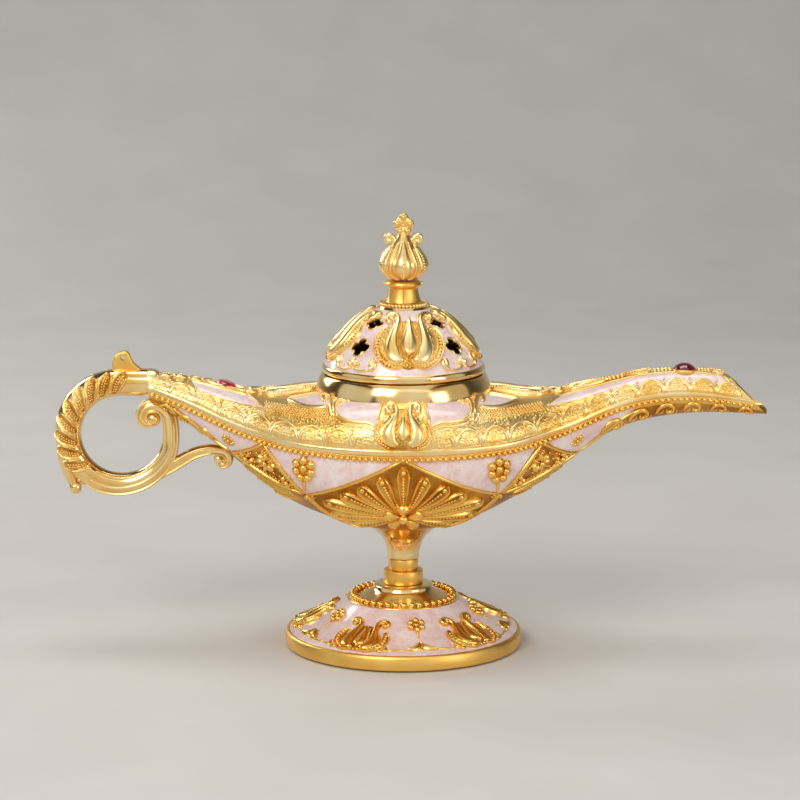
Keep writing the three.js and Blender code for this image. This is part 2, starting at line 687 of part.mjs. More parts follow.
function footEnamel() {
  const slope = slopeCurve(GAP);
  const skin = turned([...offsetPoints(slope, 3, 0), ...offsetPoints(slope, 3, -ENAMEL).reverse()]);
  return skin.subtract(roundAxis(lotusBed(footChart, FOOT_LOTUS), FOOT_LOTUSES, FOOT_LOTUS_TURN));
}

function feltPad() {
  return turned([[0, 0], [PAD_RADIUS, 0], [PAD_RADIUS, PAD_HEIGHT], [0, PAD_HEIGHT]]);
}

function spacer({ radius, bottom, top }) {
  const edge = 0.4;
  return turned([[SCREW_HOLE, bottom], [radius - edge, bottom], [radius, bottom + edge], [radius, top - edge],
    [radius - edge, top], [SCREW_HOLE, top]], 24);
}

function tieScrew() {
  const seat = FOOT_WEB - 1.4;
  return turned([[0, seat - 2.6], [3, seat - 2.6], [3.8, seat - 1.6], [3.8, seat], [SCREW_RADIUS, seat],
    [SCREW_RADIUS, SCREW_TOP - 0.5], [SCREW_RADIUS - 0.5, SCREW_TOP], [0, SCREW_TOP]], 16);
}

function tieWasher() {
  const top = FOOT_WEB - GAP;
  return turned([[SCREW_HOLE, top - 0.8], [5.6, top - 0.8], [5.6, top], [SCREW_HOLE, top]], 24);
}

// The lid, with heights from its seat on the neck

function lidDome() {
  const inner = offsetPoints(DOME, 4, -LID_WALL).reverse();
  const body = turned([
    [LID_PLUG_RADIUS, -LID_PLUG_DEPTH], [LID_PLUG_RADIUS, GAP], [LID_RADIUS - 0.2, GAP], [LID_RADIUS, 0.6],
    [LID_RADIUS, LID_RIM], ...offsetPoints(DOME, 5, -ENAMEL - GAP), [LID_TOP_RADIUS - 0.1, LID_TOP],
    [STUD_HOLE, LID_TOP], [STUD_HOLE, LID_TOP - LID_WALL - BOSS], ...inner,
    [LID_PLUG_RADIUS - LID_PLUG_WALL, 1.2], [LID_PLUG_RADIUS - LID_PLUG_WALL, -LID_PLUG_DEPTH],
  ]);
  return pierced(body, 0).add(roundAxis(lotus(lidChart, LID_LOTUS), LID_HOLE_COLUMNS));
}

function lidEnamel() {
  const body = turned([...offsetPoints(DOME, 5, 0), ...offsetPoints(DOME, 5, -ENAMEL).reverse()]);
  return pierced(body, GAP).subtract(roundAxis(lotusBed(lidChart, LID_LOTUS), LID_HOLE_COLUMNS));
}

// Two smoke holes on each meridian between the lotus reliefs, as shares of the way up the dome.
const HOLE_LOBES = 4;
const LOBE_DEPTH = 0.14;
const HOLE_CUT = 8;
const SMOKE_HOLES = [{ share: 0.46, wide: 2.7, tall: 2.4 }, { share: 0.73, wide: 2.5, tall: 1.9 }];

function pierced(body, extra) {
  let made = body;
  for (let column = 0; column < LID_HOLE_COLUMNS; column += 1) {
    const angle = (2 * Math.PI * (column + 0.5)) / LID_HOLE_COLUMNS - Math.PI / 2;
    for (const hole of SMOKE_HOLES) made = made.subtract(smokeHole(hole, extra, angle));
  }
  return made;
}

// A four-lobed hole square to the dome.
function smokeHole({ share, wide, tall }, extra, angle) {
  const outline = new THREE.Shape();
  for (let i = 0; i < 2 * HOLE_LOBES; i += 1) {
    const around = (Math.PI * i) / HOLE_LOBES;
    const reach = 1 + LOBE_DEPTH * Math.cos(HOLE_LOBES * around);
    const point = [(wide + extra) * reach * Math.cos(around), (tall + extra) * reach * Math.sin(around)];
    if (i === 0) outline.moveTo(...point);
    else outline.lineTo(...point);
  }
  const at = DOME.getPoint(share);
  const ahead = DOME.getTangent(share);
  const climb = Math.atan2(ahead.y, -ahead.x);
  const prism = new THREE.ExtrudeGeometry(outline, { depth: HOLE_CUT, bevelEnabled: false })
    .translate(0, 0, -HOLE_CUT / 2)
    .rotateX(climb)
    .rotateZ(Math.PI)
    .translate(0, at.x, at.y)
    .rotateZ(angle);
  return solid(prism);
}

const lifted = (outline, lift) => outline.map(([radius, height]) => [radius, height + lift]);

function finialSleeve() {
  return turned(lifted(SLEEVE, LID_TOP + GAP), 20);
}

function finialBulb() {
  return turned(lifted(BULB, LID_TOP + 2 * GAP + SLEEVE_HEIGHT), 20);
}

function finialStud() {
  const from = LID_TOP - LID_WALL - STUD_BELOW;
  const to = LID_TOP + STUD_ABOVE;
  return turned([[0, from], [STUD_RADIUS, from], [STUD_RADIUS, to], [0, to]], 12);
}

function finialNut() {
  const top = LID_TOP - LID_WALL - BOSS - GAP;
  const under = top - NUT_HEIGHT;
  return turned([[STUD_HOLE, under], [NUT_RADIUS, under], [NUT_RADIUS, top], [STUD_HOLE, top]], 6);
}

// The scene graph

function piece(name, body, material) {
  const mesh = new THREE.Mesh(geometryOf(body), MATERIALS[material]);
  mesh.name = name;
  return mesh;
}

function pedestal() {
  const group = new THREE.Group();
  group.add(piece("felt_pad", feltPad(), "felt"));
  group.add(piece("foot_casting", footCasting(), "gold"));
  group.add(piece("foot_enamel", footEnamel(), "enamel"));
  group.add(piece("tie_screw", tieScrew(), "steel"));
  group.add(piece("tie_washer", tieWasher(), "steel"));
  group.add(piece("stem_collar", spacer(COLLAR), "gold"));
  group.add(piece("stem_neck", spacer(STEM_NECK), "gold"));
  return group;
}

function vessel() {
  const group = new THREE.Group();
  group.add(piece("lower_bowl", lowerBowl(), "gold"));
  group.add(piece("upper_shell", upperShell(), "gold"));
  group.add(piece("handle", handle(), "gold"));
  for (const patch of [...lowerPatches, ...upperPatches]) {
    const [name, body] = panel(patch);
    group.add(piece(name, body, "enamel"));
  }
  for (const [name, x] of Object.entries(GEM_PLACES)) {
    group.add(piece(name, gem(x), "ruby"));
  }
  return group;
}

function lid() {
  const group = new THREE.Group();
  group.position.z = NECK_TOP;
  group.rotation.z = LID_TURN;
  group.add(piece("lid_dome", lidDome(), "gold"));
  group.add(piece("lid_enamel", lidEnamel(), "enamel"));
  group.add(piece("finial_sleeve", finialSleeve(), "gold"));
  group.add(piece("finial_bulb", finialBulb(), "gold"));
  group.add(piece("finial_stud", finialStud(), "steel"));
  group.add(piece("finial_nut", finialNut(), "steel"));
  return group;
}

const lamp = new THREE.Group();
lamp.add(pedestal(), vessel(), lid());

export default lamp;
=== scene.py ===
# %% [markdown]
# # A genie lamp incense burner
# The lamp is cast metal, plated with gold, with pearl pink enamel laid into its cells and red stones on its
# ridge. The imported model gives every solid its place; this script dresses it. Sizes are in millimetres,
# with X from the handle to the spout, the front at -Y and Z up, and they become metres only when a mesh is
# filled.

# %% The frame
import math

import bmesh
import bpy
import numpy as np
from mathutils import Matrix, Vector


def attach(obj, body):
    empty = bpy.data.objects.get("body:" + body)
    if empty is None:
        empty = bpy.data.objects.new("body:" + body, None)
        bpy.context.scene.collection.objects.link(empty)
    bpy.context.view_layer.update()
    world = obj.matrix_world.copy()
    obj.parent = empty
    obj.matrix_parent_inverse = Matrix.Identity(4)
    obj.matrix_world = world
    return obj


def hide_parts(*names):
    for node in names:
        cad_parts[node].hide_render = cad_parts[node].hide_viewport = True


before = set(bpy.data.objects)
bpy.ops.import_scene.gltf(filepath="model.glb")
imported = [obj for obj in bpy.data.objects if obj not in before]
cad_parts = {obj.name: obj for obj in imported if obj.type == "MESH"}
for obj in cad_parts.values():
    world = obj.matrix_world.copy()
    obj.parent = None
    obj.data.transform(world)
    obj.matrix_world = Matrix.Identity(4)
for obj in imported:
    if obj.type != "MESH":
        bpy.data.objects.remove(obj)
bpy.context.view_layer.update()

MM = 0.001

# %% [markdown]
# ## The camera first
# A long lens looks at the lamp from a little above. Some ornament is drawn as the camera sees it and laid
# on the surface along its rays, so the camera's place comes before everything else.

# %% Camera
CAMERA_TILT = 10.4
CAMERA_DISTANCE = 905
LOOK_AT = np.array([0, 0, 74.05])
LENS = 137.3
OFF_CENTRE = -1.0

tilt = math.radians(CAMERA_TILT)
RIGHT = np.array([1.0, 0, 0])
UP = np.array([0, math.sin(tilt), math.cos(tilt)])
EYE = LOOK_AT + CAMERA_DISTANCE * np.array([0, -math.cos(tilt), math.sin(tilt)]) + OFF_CENTRE * RIGHT

bpy.ops.object.select_all(action="DESELECT")
bpy.ops.object.camera_add(location=EYE * MM, rotation=(math.pi / 2 - tilt, 0, 0))
camera = bpy.context.object
camera.data.lens = LENS
camera.data.sensor_width = 36
bpy.context.scene.camera = camera
print("camera at", [round(float(value)) for value in EYE], "mm")

# %% [markdown]
# ## Working by hand, in code
# Blender's operators act on whatever is selected, so each step first clears the selection. Faces and points
# are then picked by their place. A mesh's points are read and written all at once as an array, which is how
# a flat sheet or a straight bar is bent onto the lamp.

# %% Selecting, shaping and handing over


def start():
    if bpy.context.mode != "OBJECT":
        bpy.ops.object.mode_set(mode="OBJECT")
    bpy.ops.object.select_all(action="DESELECT")


def edit(piece, pick=None):
    """Edit mode with the points that pick accepts selected, or all of them."""
    start()
    bpy.context.view_layer.objects.active = piece
    piece.select_set(True)
    bpy.ops.object.mode_set(mode="EDIT")
    bpy.ops.mesh.select_mode(type="VERT")
    bpy.ops.mesh.select_all(action="SELECT" if pick is None else "DESELECT")
    if pick is not None:
        mesh = bmesh.from_edit_mesh(piece.data)
        for vertex in mesh.verts:
            vertex.select = pick(vertex.co / MM)
        mesh.select_flush(True)
        bmesh.update_edit_mesh(piece.data)


def points_of(piece):
    flat = np.empty(3 * len(piece.data.vertices))
    piece.data.vertices.foreach_get("co", flat)
    return flat.reshape(-1, 3) / MM


def move_points(piece, points):
    piece.data.vertices.foreach_set("co", (np.asarray(points, dtype=float) * MM).ravel())
    piece.data.update()


def close_up(piece):
    """Merges doubled points, as spin and extrude leave them, and turns all faces outwards."""
    edit(piece)
    bpy.ops.mesh.remove_doubles(threshold=0.002 * MM)
    bpy.ops.mesh.normals_make_consistent(inside=False)
    start()


def modify(piece, kind, **settings):
    start()
    bpy.context.view_layer.objects.active = piece
    piece.select_set(True)
    modifier = piece.modifiers.new(kind, kind)
    for name, value in settings.items():
        setattr(modifier, name, value)
    bpy.ops.object.modifier_apply(modifier=modifier.name)


def soften(piece, degrees=40):
    start()
    bpy.context.view_layer.objects.active = piece
    piece.select_set(True)
    bpy.ops.object.shade_smooth_by_angle(angle=math.radians(degrees))


def hand_over(piece, name, finish, body, slot, *nodes):
    """Names a finished piece, gives it its finish and ties it to the moving body that carries it."""
    piece.name = name
    piece.data.name = name
    piece.data.materials.clear()
    piece.data.materials.append(finish)
    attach(piece, body)
    if nodes:
        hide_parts(*nodes)
    print(name, len(piece.data.polygons), "faces")
    return piece


print("working in", bpy.context.mode.lower(), "mode, in units of", MM, "m")

# %% [markdown]
# ## Lines that carry the shape
# The body could be pulled out of a sphere, point by point, but every ornament on it would then need its
# surface again. So it is drawn by a few smooth lines in the side view: keel, girdle and ridge, and the half
# width seen from above. They are the same stations that the solids use, so the skin lies where the solids
# are.

# %% Smooth lines


def along(*stations):
    """A smooth function through [position, value] stations."""
    place, value = np.array(stations, dtype=float).T
    ahead = np.minimum(np.arange(len(place)) + 1, len(place) - 1)
    behind = np.maximum(np.arange(len(place)) - 1, 0)
    slope = (value[ahead] - value[behind]) / (place[ahead] - place[behind])

    def line(x):
        x = np.asarray(x, dtype=float)
        i = np.clip(np.searchsorted(place, x) - 1, 0, len(place) - 2)
        span = place[i + 1] - place[i]
        t = (x - place[i]) / span
        rise = t * t * (3 - 2 * t)
        bulge = span * t * (1 - t) * (slope[i] * (1 - t) - slope[i + 1] * t)
        return value[i] + (value[i + 1] - value[i]) * rise + bulge

    return line


def smooth_path(points, count):
    """Evenly spaced points on a smooth curve through a few given ones."""
    points = np.array(points, dtype=float)
    if len(points) < 2:
        return np.repeat(points, count, axis=0)
    step = np.linalg.norm(np.diff(points, axis=0), axis=1) ** 0.5
    knots = np.concatenate([[0], np.cumsum(step)])
    fine = np.linspace(0, knots[-1], 12 * len(points))
    lines = [along(*zip(knots, points[:, axis])) for axis in range(points.shape[1])]
    dense = np.stack([line(fine) for line in lines], axis=-1)
    length = np.concatenate([[0], np.cumsum(np.linalg.norm(np.diff(dense, axis=0), axis=1))])
    even = np.linspace(0, length[-1], count)
    return np.stack([np.interp(even, length, dense[:, axis]) for axis in range(points.shape[1])], axis=-1)


BODY_START = -75
BODY_END = 108
keel = along([-76, 74.2], [-62, 66], [-48, 55.5], [-34, 45], [-17, 38.2], [0, 35.4], [17, 38.2], [32, 45.2],
             [47, 54.6], [58, 62.9], [70, 68.1], [87, 70.5], [108, 70])
girdle = along([-76, 78], [-64, 74], [-48, 68], [-30, 64.4], [0, 63.6], [30, 64.4], [48, 68.1], [64, 73.5],
               [76, 75.7], [88, 75.8], [108, 73])
ridge = along([-76, 82], [-60, 80], [-45, 76.7], [-27, 77.4], [0, 80.5], [27, 77.4], [43, 76.6], [58, 79.5],
              [72, 82.5], [86, 83], [95, 82], [108, 79])
half_width = along([-76, 5], [-60, 10.8], [-45, 18.5], [-28, 28], [0, 34.5], [28, 28], [45, 17.5], [60, 10.4],
                   [76, 7.2], [92, 6.2], [108, 5])
fullness = along([-76, 2], [-45, 2.4], [0, 3.2], [45, 2.4], [76, 2], [108, 2])


def lower(x, t):
    """The bowl below the girdle: t runs from the front girdle, 0, under the keel to the back one, 1."""
    middle = girdle(x)
    y = -half_width(x) * np.cos(np.pi * t)
    return np.stack([x, y, middle - (middle - keel(x)) * np.sin(np.pi * t)], axis=-1)


def upper(x, t):
    """The shoulder above the girdle: t runs from the front girdle, 0, over the ridge to the back one, 1."""
    across, up = np.cos(np.pi * t), np.sin(np.pi * t)
    power = fullness(x)
    reach = (np.abs(across) ** power + np.abs(up) ** power) ** (-1 / power)
    middle = girdle(x)
    return np.stack([x, -half_width(x) * reach * across, middle + (ridge(x) - middle) * reach * up], axis=-1)


print("girdle runs from", float(girdle(BODY_START)), "to", float(girdle(BODY_END)), "mm high")

# %% [markdown]
# ## Shader maths as Python
# A finish is a tree of nodes. Wrapping a socket in a small class with operators lets the tree be written as
# an expression, so `0.2 + 0.1 * speckle` adds the two Math nodes by itself.

# %% A socket with operators, and a finish to hold its nodes


class Signal:
    def __init__(self, finish, socket):
        self.finish = finish
        self.socket = socket

    def math(self, operation, first, second):
        return self.finish.node("Math", {"operation": operation}, {0: first, 1: second})

    def __add__(self, other):
        return self.math("ADD", self, other)

    def __sub__(self, other):
        return self.math("SUBTRACT", self, other)

    def __rsub__(self, other):
        return self.math("SUBTRACT", other, self)

    def __mul__(self, other):
        return self.math("MULTIPLY", self, other)

    def __pow__(self, other):
        return self.math("POWER", self, other)

    __radd__ = __add__
    __rmul__ = __mul__


class Finish:
    def __init__(self, name):
        self.material = bpy.data.materials.new(name)
        self.material.use_nodes = True
        self.tree = self.material.node_tree
        self.tree.nodes.clear()

    def node(self, kind, settings=None, inputs=None, output=0):
        """Any node: its settings first, ramp stops among them, then values or links for its sockets."""
        made = self.tree.nodes.new("ShaderNode" + kind)
        for name, value in (settings or {}).items():
            if name == "stops":
                while len(made.color_ramp.elements) < len(value):
                    made.color_ramp.elements.new(0.5)
                for element, (place, colour) in zip(made.color_ramp.elements, value):
                    element.position = place
                    element.color = (*colour, 1)
            else:
                setattr(made, name, value)
        for name, value in (inputs or {}).items():
            if isinstance(value, Signal):
                self.tree.links.new(value.socket, made.inputs[name])
            else:
                made.inputs[name].default_value = value
        return Signal(self, made.outputs[output]) if made.outputs else None

    def coordinates(self):
        """Object coordinates in millimetres."""
        place = self.node("TexCoord", output="Object")
        return self.node("VectorMath", {"operation": "SCALE"}, {0: place, "Scale": 1 / MM}, "Vector")

    def noise(self, vector, scale, detail=3, roughness=0.5, distortion=0.0):
        return self.node("TexNoise", None, {"Vector": vector, "Scale": scale, "Detail": detail,
                                            "Roughness": roughness, "Distortion": distortion}, "Fac")

    def ramp(self, value, *stops):
        return self.node("ValToRGB", {"stops": stops}, {"Fac": value}, "Color")

    def bump(self, height, distance, strength=1.0):
        return self.node("Bump", None, {"Height": height, "Distance": distance * MM, "Strength": strength})

    def done(self, **sockets):
        """Principled BSDF and output, with socket names written with _ for a space."""
        inputs = {name.replace("_", " "): value for name, value in sockets.items()}
        shader = self.node("BsdfPrincipled", None, inputs)
        self.node("OutputMaterial", None, {"Surface": shader})
        print("finish", self.material.name)
        return self.material


print("signals can be joined by + - * and **")

# %% [markdown]
# ## The finishes
# Gold plate takes its tone from what it reflects. The castings are given two tones, a pale one for the
# shoulder, the handle and the lid and a deeper one for the bowl and the foot; the deeper tone is painted
# shade on the lower parts. A picture of metal could be wrapped round them, but it would stretch, so nodes
# work the tone out from each point's place. The ground between the reliefs is stippled, and its colour is
# darkened towards amber as painted shade in the recesses: shells and reliefs carry an attribute for it, 0
# to 1, a fine cell pattern dents the surface by it and the colour falls with it. Turned parts are brushed
# instead, in rings round their axis.

# %% Gold, cast and turned
PALE_GOLD = (1.0, 0.81, 0.43)
GOLD = (0.98, 0.63, 0.17)
# The deep gold is the middle tone of the painted shade on the bowl and the foot; on turned parts it is the
# darker end of their random tone.
DEEP_GOLD = (0.88, 0.48, 0.09)
# The amber is painted shade, the colour that recesses and stippled ground are darkened towards.
AMBER_SHADE = (0.44, 0.18, 0.02)


def cast_gold(name, rough, *tones):
    finish = Finish(name)
    place = finish.coordinates()
    ground = finish.node("Attribute", {"attribute_name": "ground"}, None, "Fac")
    patina = finish.noise(place, 0.09, 4)
    speckle = finish.noise(place, 2.6, 2)
    dents = finish.node("TexVoronoi", {"feature": "F1"}, {"Vector": place, "Scale": 1.5}, "Distance")
    # Painted shade: the colour falls towards amber where the casting is marked as stippled ground.
    colour = finish.ramp(patina - 0.42 * ground, *zip((0.05, 0.3, 0.62), tones))
    height = ground ** 0.5 * dents * 0.6 + speckle * 0.03
    return finish.done(
        Base_Color=colour, Metallic=1.0, Roughness=rough + 0.1 * patina + 0.1 * ground,
        Normal=finish.bump(height, 0.35))


def turned_gold(name, rough, groove, bright):
    finish = Finish(name)
    place = finish.coordinates()
    flat = finish.node("VectorMath", {"operation": "MULTIPLY"}, {0: place, 1: (1, 1, 0)}, "Vector")
    radius = finish.node("VectorMath", {"operation": "LENGTH"}, {0: flat}, "Value")
    height = finish.node("SeparateXYZ", None, {0: place}, "Z")
    rings = finish.node("CombineXYZ", None, {"X": radius, "Z": height}, "Vector")
    lines = finish.noise(rings, 7.0, 4, 0.6)
    cloud = finish.noise(place, 0.12, 3)
    colour = finish.ramp(cloud + 0.35 * lines, (0.35, DEEP_GOLD), (0.85, bright))
    return finish.done(
        Base_Color=colour, Metallic=1.0, Roughness=rough + 0.16 * lines * groove + 0.06 * cloud,
        Normal=finish.bump(lines, 0.03 * groove))


# The deeper material is painted shade: it darkens the bowl and the foot, the lower parts, against the paler
# one of the shoulder, the handle and the lid.
shade_deepened_gold = cast_gold("cast_gold", 0.2, AMBER_SHADE, DEEP_GOLD, GOLD)
pale = cast_gold("pale_cast_gold", 0.25, AMBER_SHADE, GOLD, PALE_GOLD)
satin = turned_gold("satin_gold", 0.2, 1.6, GOLD)
polished = turned_gold("polished_gold", 0.09, 0.25, PALE_GOLD)

# %% [markdown]
# The enamel is a pearl resin: pale pink with cloudy veins of white and rose, under a clear glossy top. One
# flat pink would look like paint, so the veins come from noise that is itself bent by noise, and a clear
# coat over them gives the gloss. The stones are red glass, the pad is felt and the screw is steel.

# %% Enamel, stone, felt and steel


def pearl_enamel():
    finish = Finish("pearl_enamel")
    place = finish.coordinates()
    drift = finish.noise(place, 0.11, 4, 0.55, 1.6)
    veins = finish.noise(place, 0.3, 5, 0.6, 2.4)
    colour = finish.ramp(drift * 0.6 + veins * 0.4, (0.34, (0.8, 0.5, 0.48)), (0.46, (0.84, 0.62, 0.6)),
                         (0.56, (0.88, 0.72, 0.71)), (0.68, (0.93, 0.86, 0.85)))
    return finish.done(Base_Color=colour, Metallic=0.0, Roughness=0.22 + 0.14 * veins, Coat_Weight=0.8,
                       Coat_Roughness=0.06, Normal=finish.bump(veins, 0.05))


def red_stone(name, *tones):
    finish = Finish(name)
    place = finish.coordinates()
    # Painted glints: cells of bright and dark red in the colour stand in for light caught inside the glass.
    painted_flash = finish.node("TexVoronoi", {"feature": "F1"}, {"Vector": place, "Scale": 0.7}, "Distance")
    colour = finish.ramp(painted_flash, *zip((0.1, 0.55, 0.9), tones))
    return finish.done(Base_Color=colour, Metallic=0.0, Roughness=0.04 + 0.05 * painted_flash, Coat_Weight=1.0,
                       Coat_Roughness=0.02, Specular_IOR_Level=0.8)


def felt_cloth():
    finish = Finish("felt_cloth")
    place = finish.coordinates()
    fibres = finish.noise(place, 2.2, 6, 0.7, 1.5)
    colour = finish.ramp(fibres, (0.3, (0.012, 0.01, 0.009)), (0.7, (0.05, 0.043, 0.038)))
    return finish.done(Base_Color=colour, Roughness=0.9 + 0.1 * fibres, Normal=finish.bump(fibres, 0.3))


def screw_steel():
    finish = Finish("screw_steel")
    place = finish.coordinates()
    lines = finish.noise(place, 5.0, 4, 0.6)
    colour = finish.ramp(lines, (0.3, (0.38, 0.38, 0.4)), (0.7, (0.56, 0.56, 0.57)))
    return finish.done(Base_Color=colour, Metallic=1.0, Roughness=0.25 + 0.2 * lines,
                       Normal=finish.bump(lines, 0.03))


enamel = pearl_enamel()
bright_stone = red_stone("bright_stone", (0.8, 0.02, 0.05), (0.45, 0.004, 0.02), (0.2, 0.0, 0.01))
dark_stone = red_stone("dark_stone", (0.24, 0.004, 0.014), (0.12, 0.001, 0.006), (0.05, 0.0, 0.003))
felt = felt_cloth()
steel = screw_steel()

# %% [markdown]
# ## The two shells of the body
# The body is cast in two shells that meet along the girdle. Each could be a lathe form stretched by hand,
# but its section changes all the way along, so a flat grid is bent onto the surface instead. Bisect makes
# the slanting mouth of the spout, a face closes the handle end, and Solidify gives the wall its thickness.

# %% Bending a grid onto a surface
SHELL_COLUMNS = 200
SHELL_ROWS = 88
SHELL_WALL = 1.3
MOUTH_TOP = (97.6, 80.6)
MOUTH_LIP = (107.8, 70)
PLAIN_STRIP = 2.2


def sheet_on(surface, columns, rows):
    """A grid whose two directions, 0 to 1, are carried onto a surface."""
    start()
    bpy.ops.mesh.primitive_grid_add(x_subdivisions=columns, y_subdivisions=rows, size=2 * MM)
    piece = bpy.context.object
    u, v, _ = (points_of(piece).T + 1) / 2
    move_points(piece, surface(u, v))
    return piece


def turn_outwards(piece):
    """Faces look away from the body's middle line, also on an open sheet."""
    edit(piece)
    bpy.ops.mesh.normals_make_consistent(inside=False)
    start()
    outward = 0.0
    for face in piece.data.polygons:
        x, y, z = face.center / MM
        outward += face.area * (face.normal.y * y + face.normal.z * (z - float(girdle(x))))
    if outward < 0:
        edit(piece)
        bpy.ops.mesh.flip_normals()
        start()


def body_shell(surface):
    def stretched(u, v):
        return surface(BODY_START + u * (BODY_END - BODY_START), v)

    piece = sheet_on(stretched, SHELL_COLUMNS, SHELL_ROWS)
    edit(piece)
    across = (MOUTH_TOP[1] - MOUTH_LIP[1], 0, MOUTH_LIP[0] - MOUTH_TOP[0])
    lip = (MOUTH_LIP[0] * MM, 0, MOUTH_LIP[1] * MM)
    bpy.ops.mesh.bisect(plane_co=lip, plane_no=across, clear_outer=True, use_fill=False)
    edit(piece, lambda point: point.x < BODY_START + 0.01)
    bpy.ops.mesh.edge_face_add()
    turn_outwards(piece)
    modify(piece, "SOLIDIFY", thickness=SHELL_WALL * MM, offset=-1, use_even_offset=True)
    return piece


def mark_stipple_and_shade(piece, mask):
    """Writes where the casting is stippled and its colour darkened as painted shade, 0 to 1, as an attribute
    of the points.
    """
    values = np.clip(mask(*points_of(piece).T), 0, 1)
    layer = piece.data.attributes.new("ground", "FLOAT", "POINT")
    layer.data.foreach_set("value", values.astype(np.float32))


print("shell grid of", SHELL_COLUMNS, "by", SHELL_ROWS, "faces, wall", SHELL_WALL, "mm")

# %% The lower bowl
FUNNEL = [(4.7, 26.3), (4.8, 28), (5.3, 30.3), (6.6, 33), (9.5, 35.6), (14, 38.6)]


def smoothstep(low, high, value):
    share = np.clip((value - low) / (high - low), 0, 1)
    return share * share * (3 - 2 * share)


# The whole bowl below its plain band is stippled and darkened as painted shade, all but the middle round the
# stem.
def bowl_stipple_and_shade(x, y, z):
    below = girdle(x) - z
    return smoothstep(1.2, 2.0, below) * smoothstep(12, 14.5, np.hypot(x, y))


bowl = body_shell(lower)
mark_stipple_and_shade(bowl, bowl_stipple_and_shade)
soften(bowl, 50)
hand_over(bowl, "bowl_shell", shade_deepened_gold, "lamp", "gold", "lower_bowl")

# %% The upper shell, opened for the neck
NECK_OPENING = 24.6
PUNCH_LENGTH = 60
PUNCH_MIDDLE = 90
SHOULDER_STIPPLE_AND_SHADE = 0.3

shoulder = body_shell(upper)
start()
bpy.ops.mesh.primitive_cylinder_add(
    vertices=160, radius=NECK_OPENING * MM, depth=PUNCH_LENGTH * MM, location=(0, 0, PUNCH_MIDDLE * MM))
punch = bpy.context.object
modify(shoulder, "BOOLEAN", object=punch, operation="DIFFERENCE", solver="EXACT")
bpy.data.objects.remove(punch)
# Above the plain strip the shoulder is lightly stippled and a little darkened, painted shade.
mark_stipple_and_shade(shoulder, lambda x, y, z: SHOULDER_STIPPLE_AND_SHADE * smoothstep(-0.3, 0.3, z - girdle(x) - PLAIN_STRIP))
soften(shoulder, 50)
hand_over(shoulder, "shoulder_shell", pale, "lamp", "gold", "upper_shell")

# %% [markdown]
# ## Turned pieces
# The neck ring, the funnel under the bowl, the stem and the foot are round. Each starts as a circle whose
# points are moved to the outline in the XZ plane; Spin carries that outline round the axis, doubled points
# are merged, and a small bevel breaks the sharp edges as polishing does. A Screw modifier could do the
# same, but Spin needs nothing more than the list of radii and heights.

# %% Spin an outline
EDGE_ANGLE = 32


def spun(outline, steps=128, edge=0.15):
    start()
    bpy.ops.mesh.primitive_circle_add(vertices=len(outline), radius=MM)
    piece = bpy.context.object
    move_points(piece, [(radius, 0, height) for radius, height in outline])
    edit(piece)
    bpy.ops.mesh.spin(steps=steps, angle=2 * math.pi, center=(0, 0, 0), axis=(0, 0, 1))
    close_up(piece)
    if edge:
        modify(piece, "BEVEL", width=edge * MM, segments=2, limit_method="ANGLE",
               angle_limit=math.radians(EDGE_ANGLE))
    soften(piece, EDGE_ANGLE)
    return piece


def offset_line(line, distance):
    """A profile moved sideways, out of the surface when it climbs."""
    step = np.gradient(np.asarray(line, dtype=float), axis=0)
    normal = np.stack([step[:, 1], -step[:, 0]], axis=-1) / np.linalg.norm(step, axis=1, keepdims=True)
    return line + distance * normal


print("edges sharper than", EDGE_ANGLE, "degrees are broken")

# %% Neck ring and funnel
NECK_TOP = 82.6
NECK_BORE = 22.3
NECK_FACE = [(26.1, 75.4), (26.0, 78.2), (25.4, 80.4), (24.7, 81.8)]

neck_ring = spun([(NECK_BORE, 74.6), (25.4, 74.6), *NECK_FACE, (24.2, NECK_TOP), (NECK_BORE + 0.5, NECK_TOP),
                  (NECK_BORE, NECK_TOP - 0.5)], 160)
hand_over(neck_ring, "neck_ring", polished, "lamp", "gold")

funnel_face = smooth_path(FUNNEL, 16)
funnel = spun([(2.4, 26.3), *funnel_face, (13, 39.2), (2.4, 38.4)], 96)
hand_over(funnel, "bowl_funnel", polished, "lamp", "gold")

# %% Stem and foot
COLLAR = (5.9, 18.6, 22.7)
STEM_NECK = (4.4, 22.7, 26.2)
FOOT_RADIUS = 35.4
FOOT_SLOPE = [(34.2, 4.9), (28.4, 7.1), (22.6, 9.9), (16.9, 14.1)]
FOOT_CROWN = [(16.2, 13.6), (17.0, 14.1), (16.9, 14.45), (16.2, 14.6), (15.5, 14.4), (14.2, 14.4),
              (13.5, 14.8), (11.6, 15.7), (9.5, 16.8), (8.9, 17.5), (8.8, 18.1), (8.2, 18.5), (7.2, 18.6)]
SCREW_HOLE = 2.4
ENAMEL_DEPTH = 0.5
ENAMEL_PROUD = 0.05


def spacer(radius, bottom, top):
    return spun([(SCREW_HOLE, bottom), (radius, bottom), (radius, top), (SCREW_HOLE, top)], 96, 0.4)


hand_over(spacer(*COLLAR), "stem_collar_ring", satin, "lamp", "gold", "stem_collar")
hand_over(spacer(*STEM_NECK), "stem_neck_ring", satin, "lamp", "gold", "stem_neck")

slope = smooth_path(FOOT_SLOPE, 24)
foot_rim = spun([(SCREW_HOLE, 15), (7.5, 15), (14, 11.6), (31, 3.1), (31.2, 2.1), (33.6, 2.1), (33.6, 0.5),
                 (35.1, 0.5), (FOOT_RADIUS, 0.9), (FOOT_RADIUS, 4.0), (35.0, 4.7), (34.4, 5.0),
                 *offset_line(slope, -ENAMEL_DEPTH), (15.2, 14.2), (SCREW_HOLE, 15.6)], 160)
hand_over(foot_rim, "foot_rim", satin, "lamp", "gold", "foot_casting")

